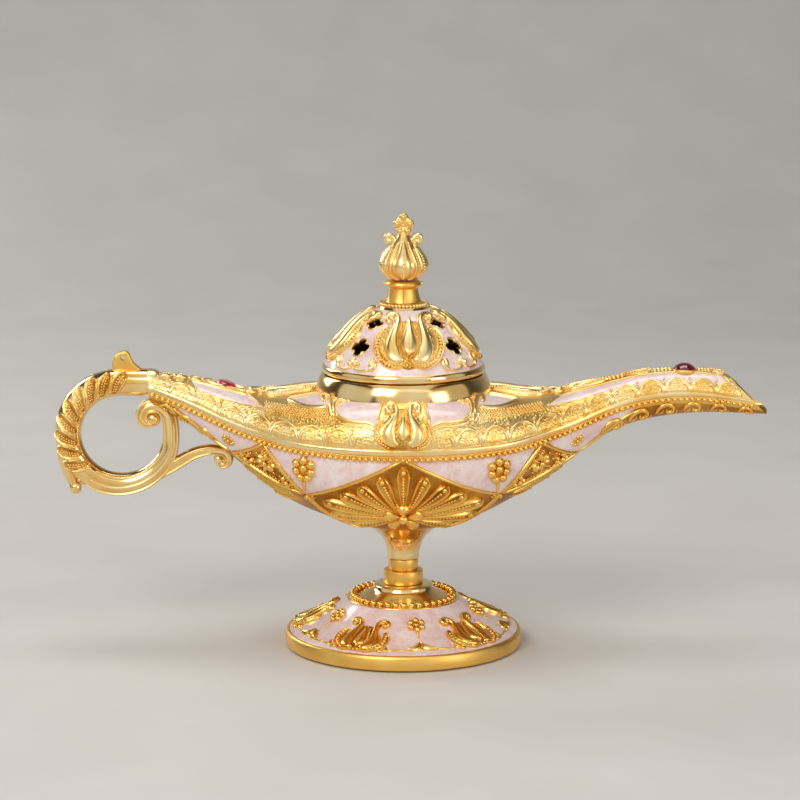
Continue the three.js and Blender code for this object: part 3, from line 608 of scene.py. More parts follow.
foot_crown = spun([(SCREW_HOLE, 14.8), *FOOT_CROWN, (SCREW_HOLE, 18.6)], 128)
hand_over(foot_crown, "foot_crown", polished, "lamp", "gold")

foot_skin = spun([*offset_line(slope, ENAMEL_PROUD), *offset_line(slope, -ENAMEL_DEPTH)[::-1]], 128, 0.1)
hand_over(foot_skin, "foot_enamel_skin", enamel, "lamp", "enamel", "foot_enamel")

# %% Pad and screw
pad = spun([(0, 0.0), (32.8, 0.0), (33.2, 0.3), (33.2, 1.4), (32.8, 1.7), (0, 1.7)], 96, 0)
hand_over(pad, "base_pad", felt, "lamp", "felt", "felt_pad")
for name in ("tie_screw", "tie_washer", "finial_stud", "finial_nut"):
    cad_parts[name].data.materials.clear()
    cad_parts[name].data.materials.append(steel)

# %% [markdown]
# ## Relief from two blanks
# The casting is covered with raised ornament: petals, scrolls, leaves, arches and rows of beads. Sculpting
# it would need a very fine mesh everywhere. Instead two small blanks are modelled once, a straight bar,
# extruded station by station, and a round bead, and every stroke of the ornament is a copy of one of them,
# bent along its own line and laid on the surface with its foot sunk a little into the gold.

# %% The blanks
SINK = 0.25
SECTIONS = {
    "round": [(-1, -1), (-0.88, 0.5), (-0.45, 0.92), (0.45, 0.92), (0.88, 0.5), (1, -1)],
    "pillow": [(-1, -1), (-0.96, 0.35), (-0.8, 0.68), (-0.5, 0.91), (-0.16, 1), (0.16, 1), (0.5, 0.91),
               (0.8, 0.68), (0.96, 0.35), (1, -1)],
    "ridged": [(-1, -1), (-0.9, 0.3), (-0.45, 0.68), (-0.08, 1), (0.08, 1), (0.45, 0.68), (0.9, 0.3),
               (1, -1)],
    "rimmed": [(-1, -1), (-0.94, 0.75), (-0.76, 1), (-0.54, 0.5), (0, 0.4), (0.54, 0.5), (0.76, 1),
               (0.94, 0.75), (1, -1)],
    "plate": [(-1, -1), (-0.97, 0.8), (-0.92, 1), (-0.6, 1), (-0.3, 1), (0, 1), (0.3, 1), (0.6, 1), (0.92, 1),
              (0.97, 0.8), (1, -1), (0.6, -1), (0.3, -1), (0, -1), (-0.3, -1), (-0.6, -1)],
}
SECTIONS["pan"] = SECTIONS["plate"]


class Blank:
    """A small mesh kept as arrays, to be copied and bent many times."""

    def __init__(self, piece):
        self.points = points_of(piece)
        self.sizes = np.array([len(face.vertices) for face in piece.data.polygons])
        self.corners = np.array([corner for face in piece.data.polygons for corner in face.vertices])
        bpy.data.objects.remove(piece)


def bar_blank(section, stations):
    outline = SECTIONS[section]
    start()
    bpy.ops.mesh.primitive_circle_add(vertices=len(outline), radius=MM, fill_type="NGON")
    piece = bpy.context.object
    move_points(piece, [(0, across, up) for across, up in outline])
    edit(piece)
    for _ in range(stations - 1):
        bpy.ops.mesh.extrude_region_move(TRANSFORM_OT_translate={"value": (MM / (stations - 1), 0, 0)})
    close_up(piece)
    return Blank(piece)


start()
bpy.ops.mesh.primitive_ico_sphere_add(subdivisions=2, radius=MM)
bead_blank = Blank(bpy.context.object)
bar_blanks = {}


def bar(section, stations):
    if (section, stations) not in bar_blanks:
        bar_blanks[section, stations] = bar_blank(section, stations)
    return bar_blanks[section, stations]


print("bar of", len(bar("round", 12).sizes), "faces, bead of", len(bead_blank.sizes))

# %% [markdown]
# A motif is a flat drawing in millimetres: strokes with a line, a half width and a height, and beads. The
# shape of a stroke says how its width runs from one end to the other, like the pressure of a pen.

# %% Drawing a motif
SHAPES = {
    "line": lambda u: np.clip(1 - np.abs(2 * u - 1) ** 10, 0, 1) ** 0.5,
    "leaf": lambda u: np.clip(np.sin(np.pi * u), 0, 1) ** 0.8,
    "drop": lambda u: np.clip(u, 0, 1) ** 0.7 * np.clip(1 - u ** 7, 0, 1) ** 0.5 * 1.1,
    "tail": lambda u: np.clip(1 - u, 0, 1) ** 0.6 * np.clip(1 - (1 - u) ** 12, 0, 1) ** 0.5,
}


class Motif:
    def __init__(self):
        self.strokes = []
        self.beads = []

    def stroke(self, line, width, height, shape="line", section="round", stations=12):
        """Width is the half width: one number, or one for each point of the line."""
        self.strokes.append((np.array(line, dtype=float), width, height, shape, section, stations))
        return self

    def bead(self, place, radius, lift=0.0):
        self.beads.append((*place, radius, lift))
        return self

    def row(self, line, radius, pitch, lift=0.0):
        """Beads along a line, growing or shrinking where radius is a pair."""
        first, last = radius if isinstance(radius, tuple) else (radius, radius)
        line = np.array(line, dtype=float)
        length = np.linalg.norm(np.diff(smooth_path(line, 60), axis=0), axis=1).sum()
        count = max(2, round(length / pitch) + 1)
        for share, place in zip(np.linspace(0, 1, count), smooth_path(line, count)):
            self.bead(place, first + (last - first) * share, lift)
        return self

    def add(self, other, shift=(0, 0), turn=0.0, scale=1.0, mirror=False):
        """A copy of another motif, turned by degrees, scaled and moved."""
        c, s = math.cos(math.radians(turn)) * scale, math.sin(math.radians(turn)) * scale
        move = np.array([[-c if mirror else c, -s if mirror else s], [-s, c]])
        for line, width, height, *rest in other.strokes:
            wide = [scale * value for value in width] if isinstance(width, list) else scale * width
            self.strokes.append((line @ move + shift, wide, height * scale, *rest))
        for x, y, radius, lift in other.beads:
            self.beads.append((*(np.array([x, y]) @ move + shift), radius * scale, lift * scale))
        return self

    def both(self):
        """The motif with its mirror image across its own middle line."""
        return Motif().add(self).add(self, mirror=True)

    def tell(self, name):
        print(name, "of", len(self.strokes), "strokes and", len(self.beads), "beads")


print("strokes can be shaped as", ", ".join(SHAPES))

# %% [markdown]
# A chart says where a point of the drawing lies on the lamp and which way the surface faces there. One
# measures from the girdle, one looks down from above, one follows the camera's rays and one goes round a
# turned piece.

# %% Charts


def outward(surface, u, v, sign, du=0.01, dv=1e-4):
    ahead = surface(u + du, v) - surface(u - du, v)
    across = surface(u, v + dv) - surface(u, v - dv)
    normal = np.cross(ahead, across) * sign
    return surface(u, v), normal / np.linalg.norm(normal, axis=1, keepdims=True)


def girdle_chart(surface, sign):
    """Drawn as x and the straight distance from the girdle, on the front."""
    def place(drawn):
        x = np.clip(drawn[:, 0], BODY_START, BODY_END)
        away = np.abs(drawn[:, 1]) + 1e-6
        edge = surface(x, np.zeros_like(x))
        t = np.full_like(x, 0.02)
        for _ in range(16):
            t = np.clip(t * away / np.linalg.norm(surface(x, t) - edge, axis=1), 1e-6, 0.5)
        return outward(surface, x, t, sign)
    return place


def seen_on(surface, sign, first):
    """Drawn as the camera sees it, in the plane that faces it at the point it looks at."""
    def place(drawn):
        ray = LOOK_AT + drawn[:, :1] * RIGHT + drawn[:, 1:] * UP - EYE
        u = drawn[:, 0].copy()
        v = np.full(len(drawn), first)
        reach = np.ones(len(drawn))
        for _ in range(14):
            here = surface(u, v)
            ahead = (surface(u + 0.01, v) - here) / 0.01
            across = (surface(u, v + 1e-4) - here) / 1e-4
            miss = here - EYE - reach[:, None] * ray
            step = np.linalg.solve(np.stack([ahead, across, -ray], axis=-1), miss[..., None])[..., 0]
            u = u - np.clip(step[:, 0], -4, 4)
            v = np.clip(v - np.clip(step[:, 1], -0.04, 0.04), 0.001, 0.499)
            reach = reach - step[:, 2]
        return outward(surface, u, v, sign)
    return place


def from_above(drawn):
    """Drawn as x and y on the upper shell."""
    def plan(x, y):
        power = fullness(x)
        share = np.clip(np.abs(y) / half_width(x), 0, 0.999) ** power
        return np.stack([x, y, girdle(x) + (ridge(x) - girdle(x)) * (1 - share) ** (1 / power)], axis=-1)
    return outward(plan, drawn[:, 0], drawn[:, 1], 1, 0.01, 0.01)


def round_chart(profile, turn=0.0, lift=0.0):
    """Drawn as the distance round a turned piece, from turn degrees, and the distance up its profile."""
    profile = np.asarray(profile, dtype=float)
    length = np.concatenate([[0], np.cumsum(np.linalg.norm(np.diff(profile, axis=0), axis=1))])
    facing = offset_line(profile, 1) - profile

    def place(drawn):
        up = np.clip(drawn[:, 1], 0, length[-1])
        radius = np.interp(up, length, profile[:, 0])
        angle = math.radians(turn) + drawn[:, 0] / radius
        height = np.interp(up, length, profile[:, 1]) + lift
        out = np.stack([np.sin(angle), -np.cos(angle)], axis=-1)
        lean = np.stack([np.interp(up, length, facing[:, axis]) for axis in (0, 1)], axis=-1)
        points = np.concatenate([out * radius[:, None], height[:, None]], axis=1)
        normals = np.concatenate([out * lean[:, :1], lean[:, 1:]], axis=1)
        return points, normals / np.linalg.norm(normals, axis=1, keepdims=True)
    return place


on_bowl = girdle_chart(lower, -1)
on_shoulder = girdle_chart(upper, 1)
seen_shoulder = seen_on(upper, 1, 0.15)
print("3 mm above the girdle at x 30:", np.round(on_shoulder(np.array([[30.0, 3.0]]))[0][0], 1))

# %% [markdown]
# Carving a motif bends one copy of a blank for each stroke and bead. All copies of a region are joined into
# one mesh, because in the casting they are one piece of metal. The back of the lamp is the mirror image of
# the front.

# %% Carving
# How far the middle of a stroke is stippled and darkened as painted shade, by its section, and how much of
# its half width that takes.
STIPPLE_AND_SHADE = {"plate": 0.8, "pan": 0.3, "rimmed": 0.75}
STIPPLE_AND_SHADE_REACH = 0.61
# A stroke never gets thinner or lower than these shares, and its height follows the pen less than its width.
THINNEST = 0.12
LOWEST = 0.1
HEIGHT_FOLLOWS = 0.6
BEAD_SEAT = 0.25


class Relief:
    def __init__(self):
        self.points = []
        self.corners = []
        self.sizes = []
        self.grounds = []

    def take(self, points, corners, sizes, grounds):
        held = sum(len(block) for block in self.points)
        self.points.append(points)
        self.corners.append(corners + held)
        self.sizes.append(sizes)
        self.grounds.append(grounds)

    def copies(self, blank, points, ground=0.0):
        """Points holds one set of the blank's points for each copy; ground is for the middle of its width."""
        count = len(points)
        corners = blank.corners + np.arange(count)[:, None] * len(blank.points)
        inner = np.where(np.abs(blank.points[:, 1]) < STIPPLE_AND_SHADE_REACH, ground, 0.0)
        self.take(points.reshape(-1, 3), corners.ravel(), np.tile(blank.sizes, count), np.tile(inner, count))

    def carve(self, motif, chart):
        groups = {}
        for drawn in motif.strokes:
            groups.setdefault(drawn[4:], []).append(drawn[:4])
        for (section, stations), strokes in groups.items():
            blank = bar(section, stations)
            station = np.rint(blank.points[:, 0] * (stations - 1)).astype(int)
            share = np.linspace(0, 1, stations)
            flat, rise = [], []
            for line, width, height, shape in strokes:
                centre = smooth_path(line, stations)
                heading = np.gradient(centre, axis=0)
                left = np.stack([-heading[:, 1], heading[:, 0]], axis=-1)
                left /= np.linalg.norm(left, axis=1, keepdims=True) + 1e-9
                press = SHAPES[shape](share)
                if isinstance(width, list):
                    width = np.interp(share, np.linspace(0, 1, len(width)), width)
                wide = (np.clip(press, THINNEST, None) * width)[station]
                tall = (np.clip(press ** HEIGHT_FOLLOWS, LOWEST, None) * height)[station]
                flat.append(centre[station] + left[station] * (blank.points[:, 1] * wide)[:, None])
                rise.append(np.where(blank.points[:, 2] > 0, blank.points[:, 2] * tall, -SINK))
            points, normals = chart(np.concatenate(flat))
            lifted = points + normals * np.concatenate(rise)[:, None]
            self.copies(blank, lifted.reshape(len(strokes), -1, 3), STIPPLE_AND_SHADE.get(section, 0.0))
        if motif.beads:
            beads = np.array(motif.beads)
            points, normals = chart(beads[:, :2])
            radius = beads[:, 2, None]
            centre = points + normals * (BEAD_SEAT * radius + beads[:, 3, None])
            self.copies(bead_blank, centre[:, None] + bead_blank.points * radius[:, None])
        return self

    def joined(self):
        return [np.concatenate(blocks) for blocks in (self.points, self.corners, self.sizes, self.grounds)]

    def and_back(self):
        """Adds the mirror image on the back, its faces wound the other way."""
        points, corners, sizes, grounds = self.joined()
        self.take(points * (1, -1, 1), corners[::-1], sizes[::-1], grounds)
        return self

    def and_round(self, copies):
        """Repeats the relief round the axis, as many times in all as copies says."""
        points, corners, sizes, grounds = self.joined()
        for number in range(1, copies):
            angle = 2 * math.pi * number / copies
            c, s = math.cos(angle), math.sin(angle)
            self.take(points @ np.array([[c, s, 0], [-s, c, 0], [0, 0, 1]]), corners, sizes, grounds)
        return self

    def piece(self):
        points, corners, sizes, grounds = self.joined()
        mesh = bpy.data.meshes.new("relief")
        mesh.vertices.add(len(points))
        mesh.vertices.foreach_set("co", (points * MM).ravel())
        mesh.loops.add(len(corners))
        mesh.loops.foreach_set("vertex_index", corners.astype(np.int32))
        mesh.polygons.add(len(sizes))
        mesh.polygons.foreach_set("loop_start", np.concatenate([[0], np.cumsum(sizes)[:-1]]).astype(np.int32))
        mesh.update(calc_edges=True)
        layer = mesh.attributes.new("ground", "FLOAT", "POINT")
        layer.data.foreach_set("value", grounds.astype(np.float32))
        made = bpy.data.objects.new("relief", mesh)
        bpy.context.scene.collection.objects.link(made)
        soften(made, 70)
        return made


print("stippled sections:", ", ".join(STIPPLE_AND_SHADE))

# %% [markdown]
# ## Enamel
# The enamel was poured into cells of the casting and stands a hair above their floor, thickest in the
# middle. Cutting it out of the shell would leave ragged edges, so each field is a small grid of its own,
# laid on the surface, domed a little, and given a thickness; raised gold lines cover its edges. Fields
# below the girdle have straight sides between corners, those round the neck end at a curved line, and two
# strips run along the handle and the spout.

# %% A field of enamel
FIELD_EDGE = 0.02
FIELD_DOME = 0.22


def mix(first, last, share):
    return first + (last - first) * share


def enamel_field(node, chart, drawn, columns, rows):
    """Lays one field on the front and its mirror image on the back."""
    def surface(u, v):
        points, normals = chart(drawn(u, v))
        dome = np.clip(16 * u * (1 - u) * v * (1 - v), 0, 1) ** 0.5
        return points + normals * (FIELD_EDGE + FIELD_DOME * dome)[:, None]

    for side, sign in (("front", 1), ("back", -1)):
        piece = sheet_on(lambda u, v: surface(u, v) * (1, sign, 1), columns, rows)
        turn_outwards(piece)
        modify(piece, "SOLIDIFY", thickness=ENAMEL_DEPTH * MM, offset=-1)
        soften(piece, 50)
        hand_over(piece, f"{node}_{side}_skin", enamel, "lamp", "enamel", f"enamel_{node}_{side}")


print("enamel", ENAMEL_DEPTH, "mm deep, domed by", FIELD_DOME, "mm")

# %% Fields below the girdle
# Corners as x and distance below the girdle: along the girdle from handle to spout, then the lower point.
RHOMBUS_SIDE = (28.2, -15.4)
LOWER_FIELDS = {
    "handle_end": [(-68.5, -1.0), (-42.0, -1.2), (-50.4, -9.2), (-51.2, -9.0)],
    "handle_side": [(-39.6, -1.2), (-1.4, -1.2), (-28.0, -15.6), (-28.6, -15.4)],
    "spout_side": [(1.4, -1.2), (38.6, -1.2), (28.0, -15.8), (27.4, -15.8)],
    "spout_end": [(41.6, -1.2), (69.0, -1.0), (51.8, -10.2), (50.8, -10.2)],
}


def between_corners(corners):
    a, b, c, d = np.array(corners, dtype=float)

    def drawn(u, v):
        u, v = u[:, None], v[:, None]
        return mix(mix(a, b, u), mix(d, c, u), v)
    return drawn


for name, corners in LOWER_FIELDS.items():
    enamel_field(name, on_bowl, between_corners(corners), 48, 24)

# %% Fields round the neck and strips along the ends
NECK_EDGE = 25.7
# The fields' outer lines as the camera sees them on the spout's side.
MID_LINE = [(7.9, -8.2), (10.5, -6.9), (14.2, -6.6), (17.6, -5.8), (19.7, -4.3), (20.6, -2.0)]
SIDE_LINE = [(22.4, -2.0), (25.0, -2.3), (28.0, -2.2), (31.4, -1.2), (34.6, 0.2)]


def to_neck(line):
    """From a line on the shoulder straight in to the neck, as x and y."""
    seen, _ = seen_shoulder(smooth_path(line, 40))
    angle = np.arctan2(seen[:, 0], -seen[:, 1])
    radius = np.hypot(seen[:, 0], seen[:, 1])

    def drawn(u, v):
        turn = np.interp(u, np.linspace(0, 1, 40), angle)
        reach = mix(NECK_EDGE, np.interp(u, np.linspace(0, 1, 40), radius), v)
        return np.stack([reach * np.sin(turn), -reach * np.cos(turn)], axis=-1)
    return drawn


def other_end(drawn):
    return lambda u, v: drawn(u, v) * (-1, 1)


for name, line in (("shoulder_mid", MID_LINE), ("shoulder_side", SIDE_LINE)):
    enamel_field(f"{name}_spout", from_above, to_neck(line), 36, 12)
    enamel_field(f"{name}_handle", from_above, other_end(to_neck(line)), 36, 12)

spout_low = along([42, 10.2], [50, 8.6], [58, 6.9], [70, 4.7], [82, 4.1], [98, 3.5])
spout_high = along([42, 14.2], [50, 12.6], [58, 10.4], [70, 8.6], [82, 8.0], [98, 7.4])
handle_low = along([-71, 4.2], [-62, 6.2], [-54, 7.9], [-47, 9.3], [-41, 10.4])
handle_high = along([-71, 6.6], [-62, 9.6], [-54, 12.2], [-47, 15], [-41, 16])


def strip(low, high, first, last, slant=0.0, lead=0.0):
    """Between two lines; the upper edge ends earlier by slant and begins earlier by lead."""
    def drawn(u, v):
        x = mix(first - lead * v, last - slant * v, u)
        return np.stack([x, mix(low(x), high(x), v)], axis=-1)
    return drawn


SPOUT_STRIP = strip(spout_low, spout_high, 42, 98.5, slant=4.4, lead=-4.0)
HANDLE_STRIP = strip(handle_low, handle_high, -60.6, -41, slant=5.0, lead=3.4)
enamel_field("spout_top", on_shoulder, SPOUT_STRIP, 60, 8)
enamel_field("handle_top", on_shoulder, HANDLE_STRIP, 40, 8)

# %% [markdown]
# ## Ornament of the shoulder
# Over the girdle runs a plain rounded strip, then a row of arches with a small bud at each foot, on
# stippled ground. Between the arches and the enamel the ground is covered with fine dots. A lotus sits in
# the middle and paired scrolls stand where the enamel fields meet. Each motif is drawn flat and a chart
# carries it onto the shoulder, which keeps its outline true however the surface turns.

# %% Strip and arches
shoulder_relief = Relief()
ARCH_START = 14.6
ARCH_ENDS = {1: 100, -1: 77.2}
ARCH_PITCH = 7.75
ARCH_OUTLINE = (0.97, 0.95, 0.88, 0.7, 0.2)
ARCH_DOTS = (6, 5, 4, 3)
ARCH_DOT_PITCH = 0.66


def arch_feet(sign):
    """Where the arches stand along the girdle."""
    x = ARCH_START
    feet = [x]
    while x < ARCH_ENDS[sign]:
        x += ARCH_PITCH
        feet.append(x)
    return [sign * foot for foot in feet if foot < ARCH_ENDS[sign]]


def arch_base(x):
    return float(np.interp(abs(x), [30, 75], [2.8, 1.7]))


def arch_rise(x):
    return float(np.interp(abs(x), [30, 75, 98], [4.6, 4.2, 3.6]))


def arch(first, last):
    motif = Motif()
    middle, half = (first + last) / 2, (last - first) / 2
    base, rise = arch_base(middle), arch_rise(middle)
    top = base + rise
    motif.stroke([(middle, base - 0.3), (middle, mix(base, top, 0.5)), (middle, top - 0.1)],
                 [share * half for share in ARCH_OUTLINE], 0.3, section="pan", stations=12)
    for inset, width, height in ((0.0, 0.38, 0.8), (0.22, 0.17, 0.5)):
        reach = half * (1 - inset)
        peak = mix(top, base, 0.7 * inset)
        line = [(middle - reach, base - 0.3), (middle - 0.86 * reach, mix(base, peak, 0.55)), (middle, peak),
                (middle + 0.86 * reach, mix(base, peak, 0.55)), (middle + reach, base - 0.3)]
        motif.stroke(line, width, height, stations=18)
    for row, count in enumerate(ARCH_DOTS):
        for column in range(count):
            x = middle + ARCH_DOT_PITCH * (column - (count - 1) / 2)
            motif.bead((x, base + (0.16 + 0.16 * row) * rise), 0.25, 0.24)
    stalk = [(first, base - 0.7), (first, base + 0.4 * rise), (first, base + 0.95 * rise)]
    motif.stroke(stalk, 0.46, 0.95, "leaf", stations=9)
    for side in (1, -1):
        motif.stroke([(first + 0.1 * side, base - 0.2), (first + 0.7 * side, base + 0.42 * rise),
                      (first + 1.7 * side, base + 0.62 * rise), (first + 2.1 * side, base + 0.4 * rise)],
                     [0.3, 0.5, 0.5, 0.3], 0.95, stations=11)
    motif.bead((first, base + 1.02 * rise), 0.45, 0.2)
    return motif


edge_strip = Motif().stroke([(-74.4, 1.2), (-40, 1.2), (0, 1.2), (40, 1.2), (70, 1.1), (103.2, 0.9)],
                            [0.8, 1.0, 1.05, 1.05, 0.9, 0.7], 0.4, stations=140)
shoulder_relief.carve(edge_strip, on_shoulder)
for sign in (1, -1):
    feet = arch_feet(sign)
    for first, last in zip(feet, feet[1:]):
        shoulder_relief.carve(arch(first, last), on_shoulder)
    print(len(feet) - 1, "arches on the", "spout" if sign > 0 else "handle", "side")

# %% A lotus
# It is drawn round its lower middle; its right half is mirrored.
PETAL = [0.08, 0.74, 1.0, 0.88, 0.68, 0.5, 0.3, 0.05]
PETAL_TALL = 1.5
SIDE_TALL = 1.35
CRESCENT_TALL = 1.0
PLAQUE_TALL = 0.5


def lotus(petal, side, crescent, bead_size, plaque):
    """A middle petal as (foot, tip, half width), then lines with half widths: a side petal that swells and
    ends in a curl, and an outer crescent set with beads. All stand on a low plaque, given as (foot, tip,
    half widths)."""
    half = Motif()
    half.stroke(*side, SIDE_TALL, section="pillow", stations=36)
    half.bead(side[0][-1], 1.3 * side[1][-1], 0.9)
    half.stroke(*crescent, CRESCENT_TALL, section="rimmed", stations=26)
    half.row(crescent[0][1:-1], bead_size, 2.25 * bead_size, 0.52)
    whole = half.both()
    foot, tip, wide = petal
    whole.stroke([(0, foot), (0, mix(foot, tip, 0.4)), (0, tip)], [share * wide for share in PETAL],
                 PETAL_TALL, section="pillow", stations=24)
    whole.row([(0, mix(foot, tip, 0.2)), (0, mix(foot, tip, 0.75))], 0.18, 0.5, PETAL_TALL - 0.08)
    foot, tip, outline = plaque
    whole.stroke([(0, foot), (0, mix(foot, tip, 0.5)), (0, tip)], outline, PLAQUE_TALL, section="plate",
                 stations=26)
    return whole


SHOULDER_LOTUS = lotus(
    (1.7, 9.4, 2.1),
    ([(0.9, 1.0), (2.5, 1.1), (3.7, 2.2), (4.1, 4.0), (3.4, 6.3), (2.3, 8.3), (1.9, 10.2), (2.5, 11.9),
      (3.7, 12.2), (4.8, 11.3), (4.5, 10.1), (3.6, 10.1), (3.5, 10.8)],
     [0.5, 1.5, 2.2, 2.1, 1.7, 1.3, 1.0, 0.85, 0.8, 0.8, 0.78, 0.7, 0.5]),
    ([(1.4, -0.3), (4.4, -0.1), (6.9, 1.6), (7.8, 4.0), (7.2, 6.1), (5.6, 7.9)],
     [0.35, 0.75, 1.0, 1.05, 0.95, 0.4]),
    0.36, (-1.0, 11.4, [3.4, 7.6, 8.8, 8.8, 8.0, 6.2, 4.6, 3.6, 3.2]))
LOTUS_PLACE = (-0.1, -14.0)
SHOULDER_LOTUS.tell("shoulder lotus")

# %% Paired scrolls and the lines round the enamel
scroll_pair = Motif()
scroll_pair.stroke([(19.2, -5.2), (20.3, -3.4), (20.0, -1.2), (18.8, 0.2), (17.6, -0.2), (17.9, -1.2)],
                   [0.5, 0.7, 0.75, 0.75, 0.6, 0.5], 0.95, stations=20)
scroll_pair.stroke([(21.4, -5.0), (21.2, -2.6), (21.9, 0.4), (23.2, 1.2), (23.9, 0.0), (23.0, -0.9)],
                   [0.5, 0.7, 0.8, 0.75, 0.6, 0.5], 0.95, stations=20)
scroll_pair.stroke([(20.6, -6.6), (20.8, -4.4), (20.7, -2.6)], 0.7, 0.9, "leaf", stations=10)
scroll_pair.bead((20.7, -6.9), 0.5)

frame_lines = Motif()
frame_lines.stroke(MID_LINE, 0.55, 0.75, stations=30)
frame_lines.stroke([(8.4, -9.4), (11.0, -8.2), (14.4, -7.9), (18.0, -7.2), (20.2, -6.4)], 0.28, 0.45,
                   stations=24)
frame_lines.stroke(SIDE_LINE, 0.55, 0.75, stations=24)

drawn_front = Motif().add(SHOULDER_LOTUS, LOTUS_PLACE)
drawn_front.add(scroll_pair.both()).add(frame_lines.both())
drawn_front.tell("front of the shoulder")

# %% Fine dots
# Rows under each other, every other one moved by half a pitch, that climb with the shoulder towards the ends.
DOT_START = (22.6, -2.9)
DOT_ROWS = 9
DOT_COLUMNS = 23
DOT_PITCH = 0.82
DOT_DROP = 0.58
DOT_RADIUS = 0.3
FULL_ROWS = 5
CLIMB_START = 29
CLIMB = 0.2

dots = Motif()
for row in range(DOT_ROWS):
    y = DOT_START[1] - DOT_DROP * row
    for column in range(DOT_COLUMNS):
        x = DOT_START[0] + DOT_PITCH * (column + 0.5 * (row % 2))
        rising = CLIMB * max(0.0, x - CLIMB_START)
        if row < FULL_ROWS or x < 30 - row + 2.4 * rising:
            dots.bead((x, y + rising), DOT_RADIUS)
dots.tell("dots")
drawn_front.add(dots.both())
shoulder_relief.carve(drawn_front, seen_shoulder)

# %% Lines along the strips


def rim_of(drawn, *ends):
    """Raised lines across a field's ends, given as shares of its length."""
    motif = Motif()
    for end in ends:
        motif.stroke(drawn(np.full(5, end), np.linspace(0, 1, 5)), 0.4, 0.7, stations=12)
    return motif


strip_lines = Motif()
for low, high, first, last in ((spout_low, spout_high, 46, 94), (handle_low, handle_high, -63, -46)):
    x = np.linspace(first, last, 9)
    strip_lines.stroke(np.stack([x, high(x) + 0.2], axis=-1), 0.35, 0.5, stations=40)
strip_lines.add(rim_of(SPOUT_STRIP, 0.0, 1.0)).add(rim_of(HANDLE_STRIP, 0.0, 1.0))
shoulder_relief.carve(strip_lines, on_shoulder)
neck_rims = Motif().add(rim_of(to_neck(MID_LINE), 0.0, 1.0)).add(rim_of(to_neck(SIDE_LINE), 0.0, 1.0))
shoulder_relief.carve(neck_rims.both(), from_above)
hand_over(shoulder_relief.and_back().piece(), "shoulder_relief", pale, "lamp", "gold")

# %% [markdown]
# ## Ornament of the bowl
# A row of beads hangs under the girdle all round. Below it a gold rhombus carries a palmette of drop-shaped
# petals over a rosette; triangles on either side hold leafy stars, and the enamel fields carry bunches of
# grapes and small flowers. Low petals fan out along the keel under the triangles, and running scrolls
# follow the underside of the spout and of the handle end. The strokes are the same as on the shoulder; only
# the chart is another one, which measures down from the girdle.

# %% Beads under the girdle
BEAD_RADIUS = 0.74
BEAD_PITCH = 1.78
bowl_relief = Relief()


def girdle_places(pitch):
    """Values of x at equal steps along the girdle."""
    x = np.linspace(BODY_START + 1, 104, 900)
    line = lower(x, np.zeros_like(x))
    length = np.concatenate([[0], np.cumsum(np.linalg.norm(np.diff(line, axis=0), axis=1))])
    return np.interp(np.arange(0, length[-1], pitch), length, x)


bead_row = Motif()
for x in girdle_places(BEAD_PITCH):
    below = np.interp(x, [45, 75], [-0.75, -0.45])
    radius = np.interp(x, [88, 100], [BEAD_RADIUS, 0.6])
    bead_row.bead((x, below), radius, 0.25)
bead_row.tell("row under the girdle")
bowl_relief.carve(bead_row, on_bowl)

# %% Palmette and rosette
ROSETTE = np.array([0, -21.7])
PETAL_WIDTH = 2.45
PETAL_TIPS = [(0, -2.6), (6.7, -6.0), (13.0, -9.2), (18.2, -12.4), (23.4, -16.6), (21.4, -23.6),
              (14.2, -27.8)]


def palm_petal(tip, root=ROSETTE, wide=PETAL_WIDTH, tall=PETAL_TALL):
    tip = np.array(tip, dtype=float)
    reach = mix(root, tip, 0.2)
    petal = Motif()
    petal.stroke([reach, mix(reach, tip, 0.5), tip], wide, tall, "drop", "rimmed", 18)
    size = wide / PETAL_WIDTH
    petal.row([mix(reach, tip, 0.2), mix(reach, tip, 0.76)], (0.32 * size, 0.55 * size), size, 0.37 * tall)
    petal.bead(mix(reach, tip, 0.88), 0.9 * size, 0.33 * tall)
    return petal


palmette = palm_petal(PETAL_TIPS[0])
for tip in PETAL_TIPS[1:]:
    palmette.add(palm_petal(tip).both())
for number in range(5):
    turn = math.radians(90 + 72 * number)
    out = np.array([math.cos(turn), math.sin(turn)])
    leaf = [ROSETTE + reach * out for reach in (1.0, 3.4, 6.0)]
    palmette.stroke(leaf, 2.3, 2.3, "drop", "pillow", 12)
palmette.bead(ROSETTE, 1.5, 0.6)
palmette.tell("palmette")

# %% Fan along the keel and border of the rhombus
KEEL_ROOT = np.array([28.6, -18.6])
KEEL_TIPS = [(48.6, -11.6), (47.4, -15.4), (44.0, -19.8), (38.4, -24.2)]
KEEL_PETAL_WIDTH = 1.5
KEEL_PETAL_TALL = 0.55

keel_fan = Motif()
for tip in KEEL_TIPS:
    keel_fan.add(palm_petal(tip, KEEL_ROOT, KEEL_PETAL_WIDTH, KEEL_PETAL_TALL))
keel_fan.tell("fan along the keel")
palmette.add(keel_fan.both())

border = Motif()
border.stroke([(0.2, -0.9), (14.2, -8.2), RHOMBUS_SIDE], 0.6, 0.85, stations=40)
border.stroke([RHOMBUS_SIDE, (24.5, -21.5), (17.5, -30.5), (11.0, -37.5)], 0.6, 0.8, stations=30)
border.stroke([(25.4, -15.8), (26.6, -18.2), (22.6, -23.4)], 0.3, 0.5, stations=14)
for x, y, radius in ((28.0, -16.6, 0.9), (26.4, -15.6, 0.55), (29.4, -15.2, 0.55)):
    border.bead((x, y), radius)
bowl_relief.carve(Motif().add(palmette).add(border.both()), on_bowl)

# %% Grapes, star flowers and leafy stars
GRAPES = [(0, 2.9), (-2.1, 1.8), (2.1, 1.9), (-2.1, -0.6), (0, 0.6), (2.1, -0.5), (-1.0, -2.6), (1.1, -2.5)]


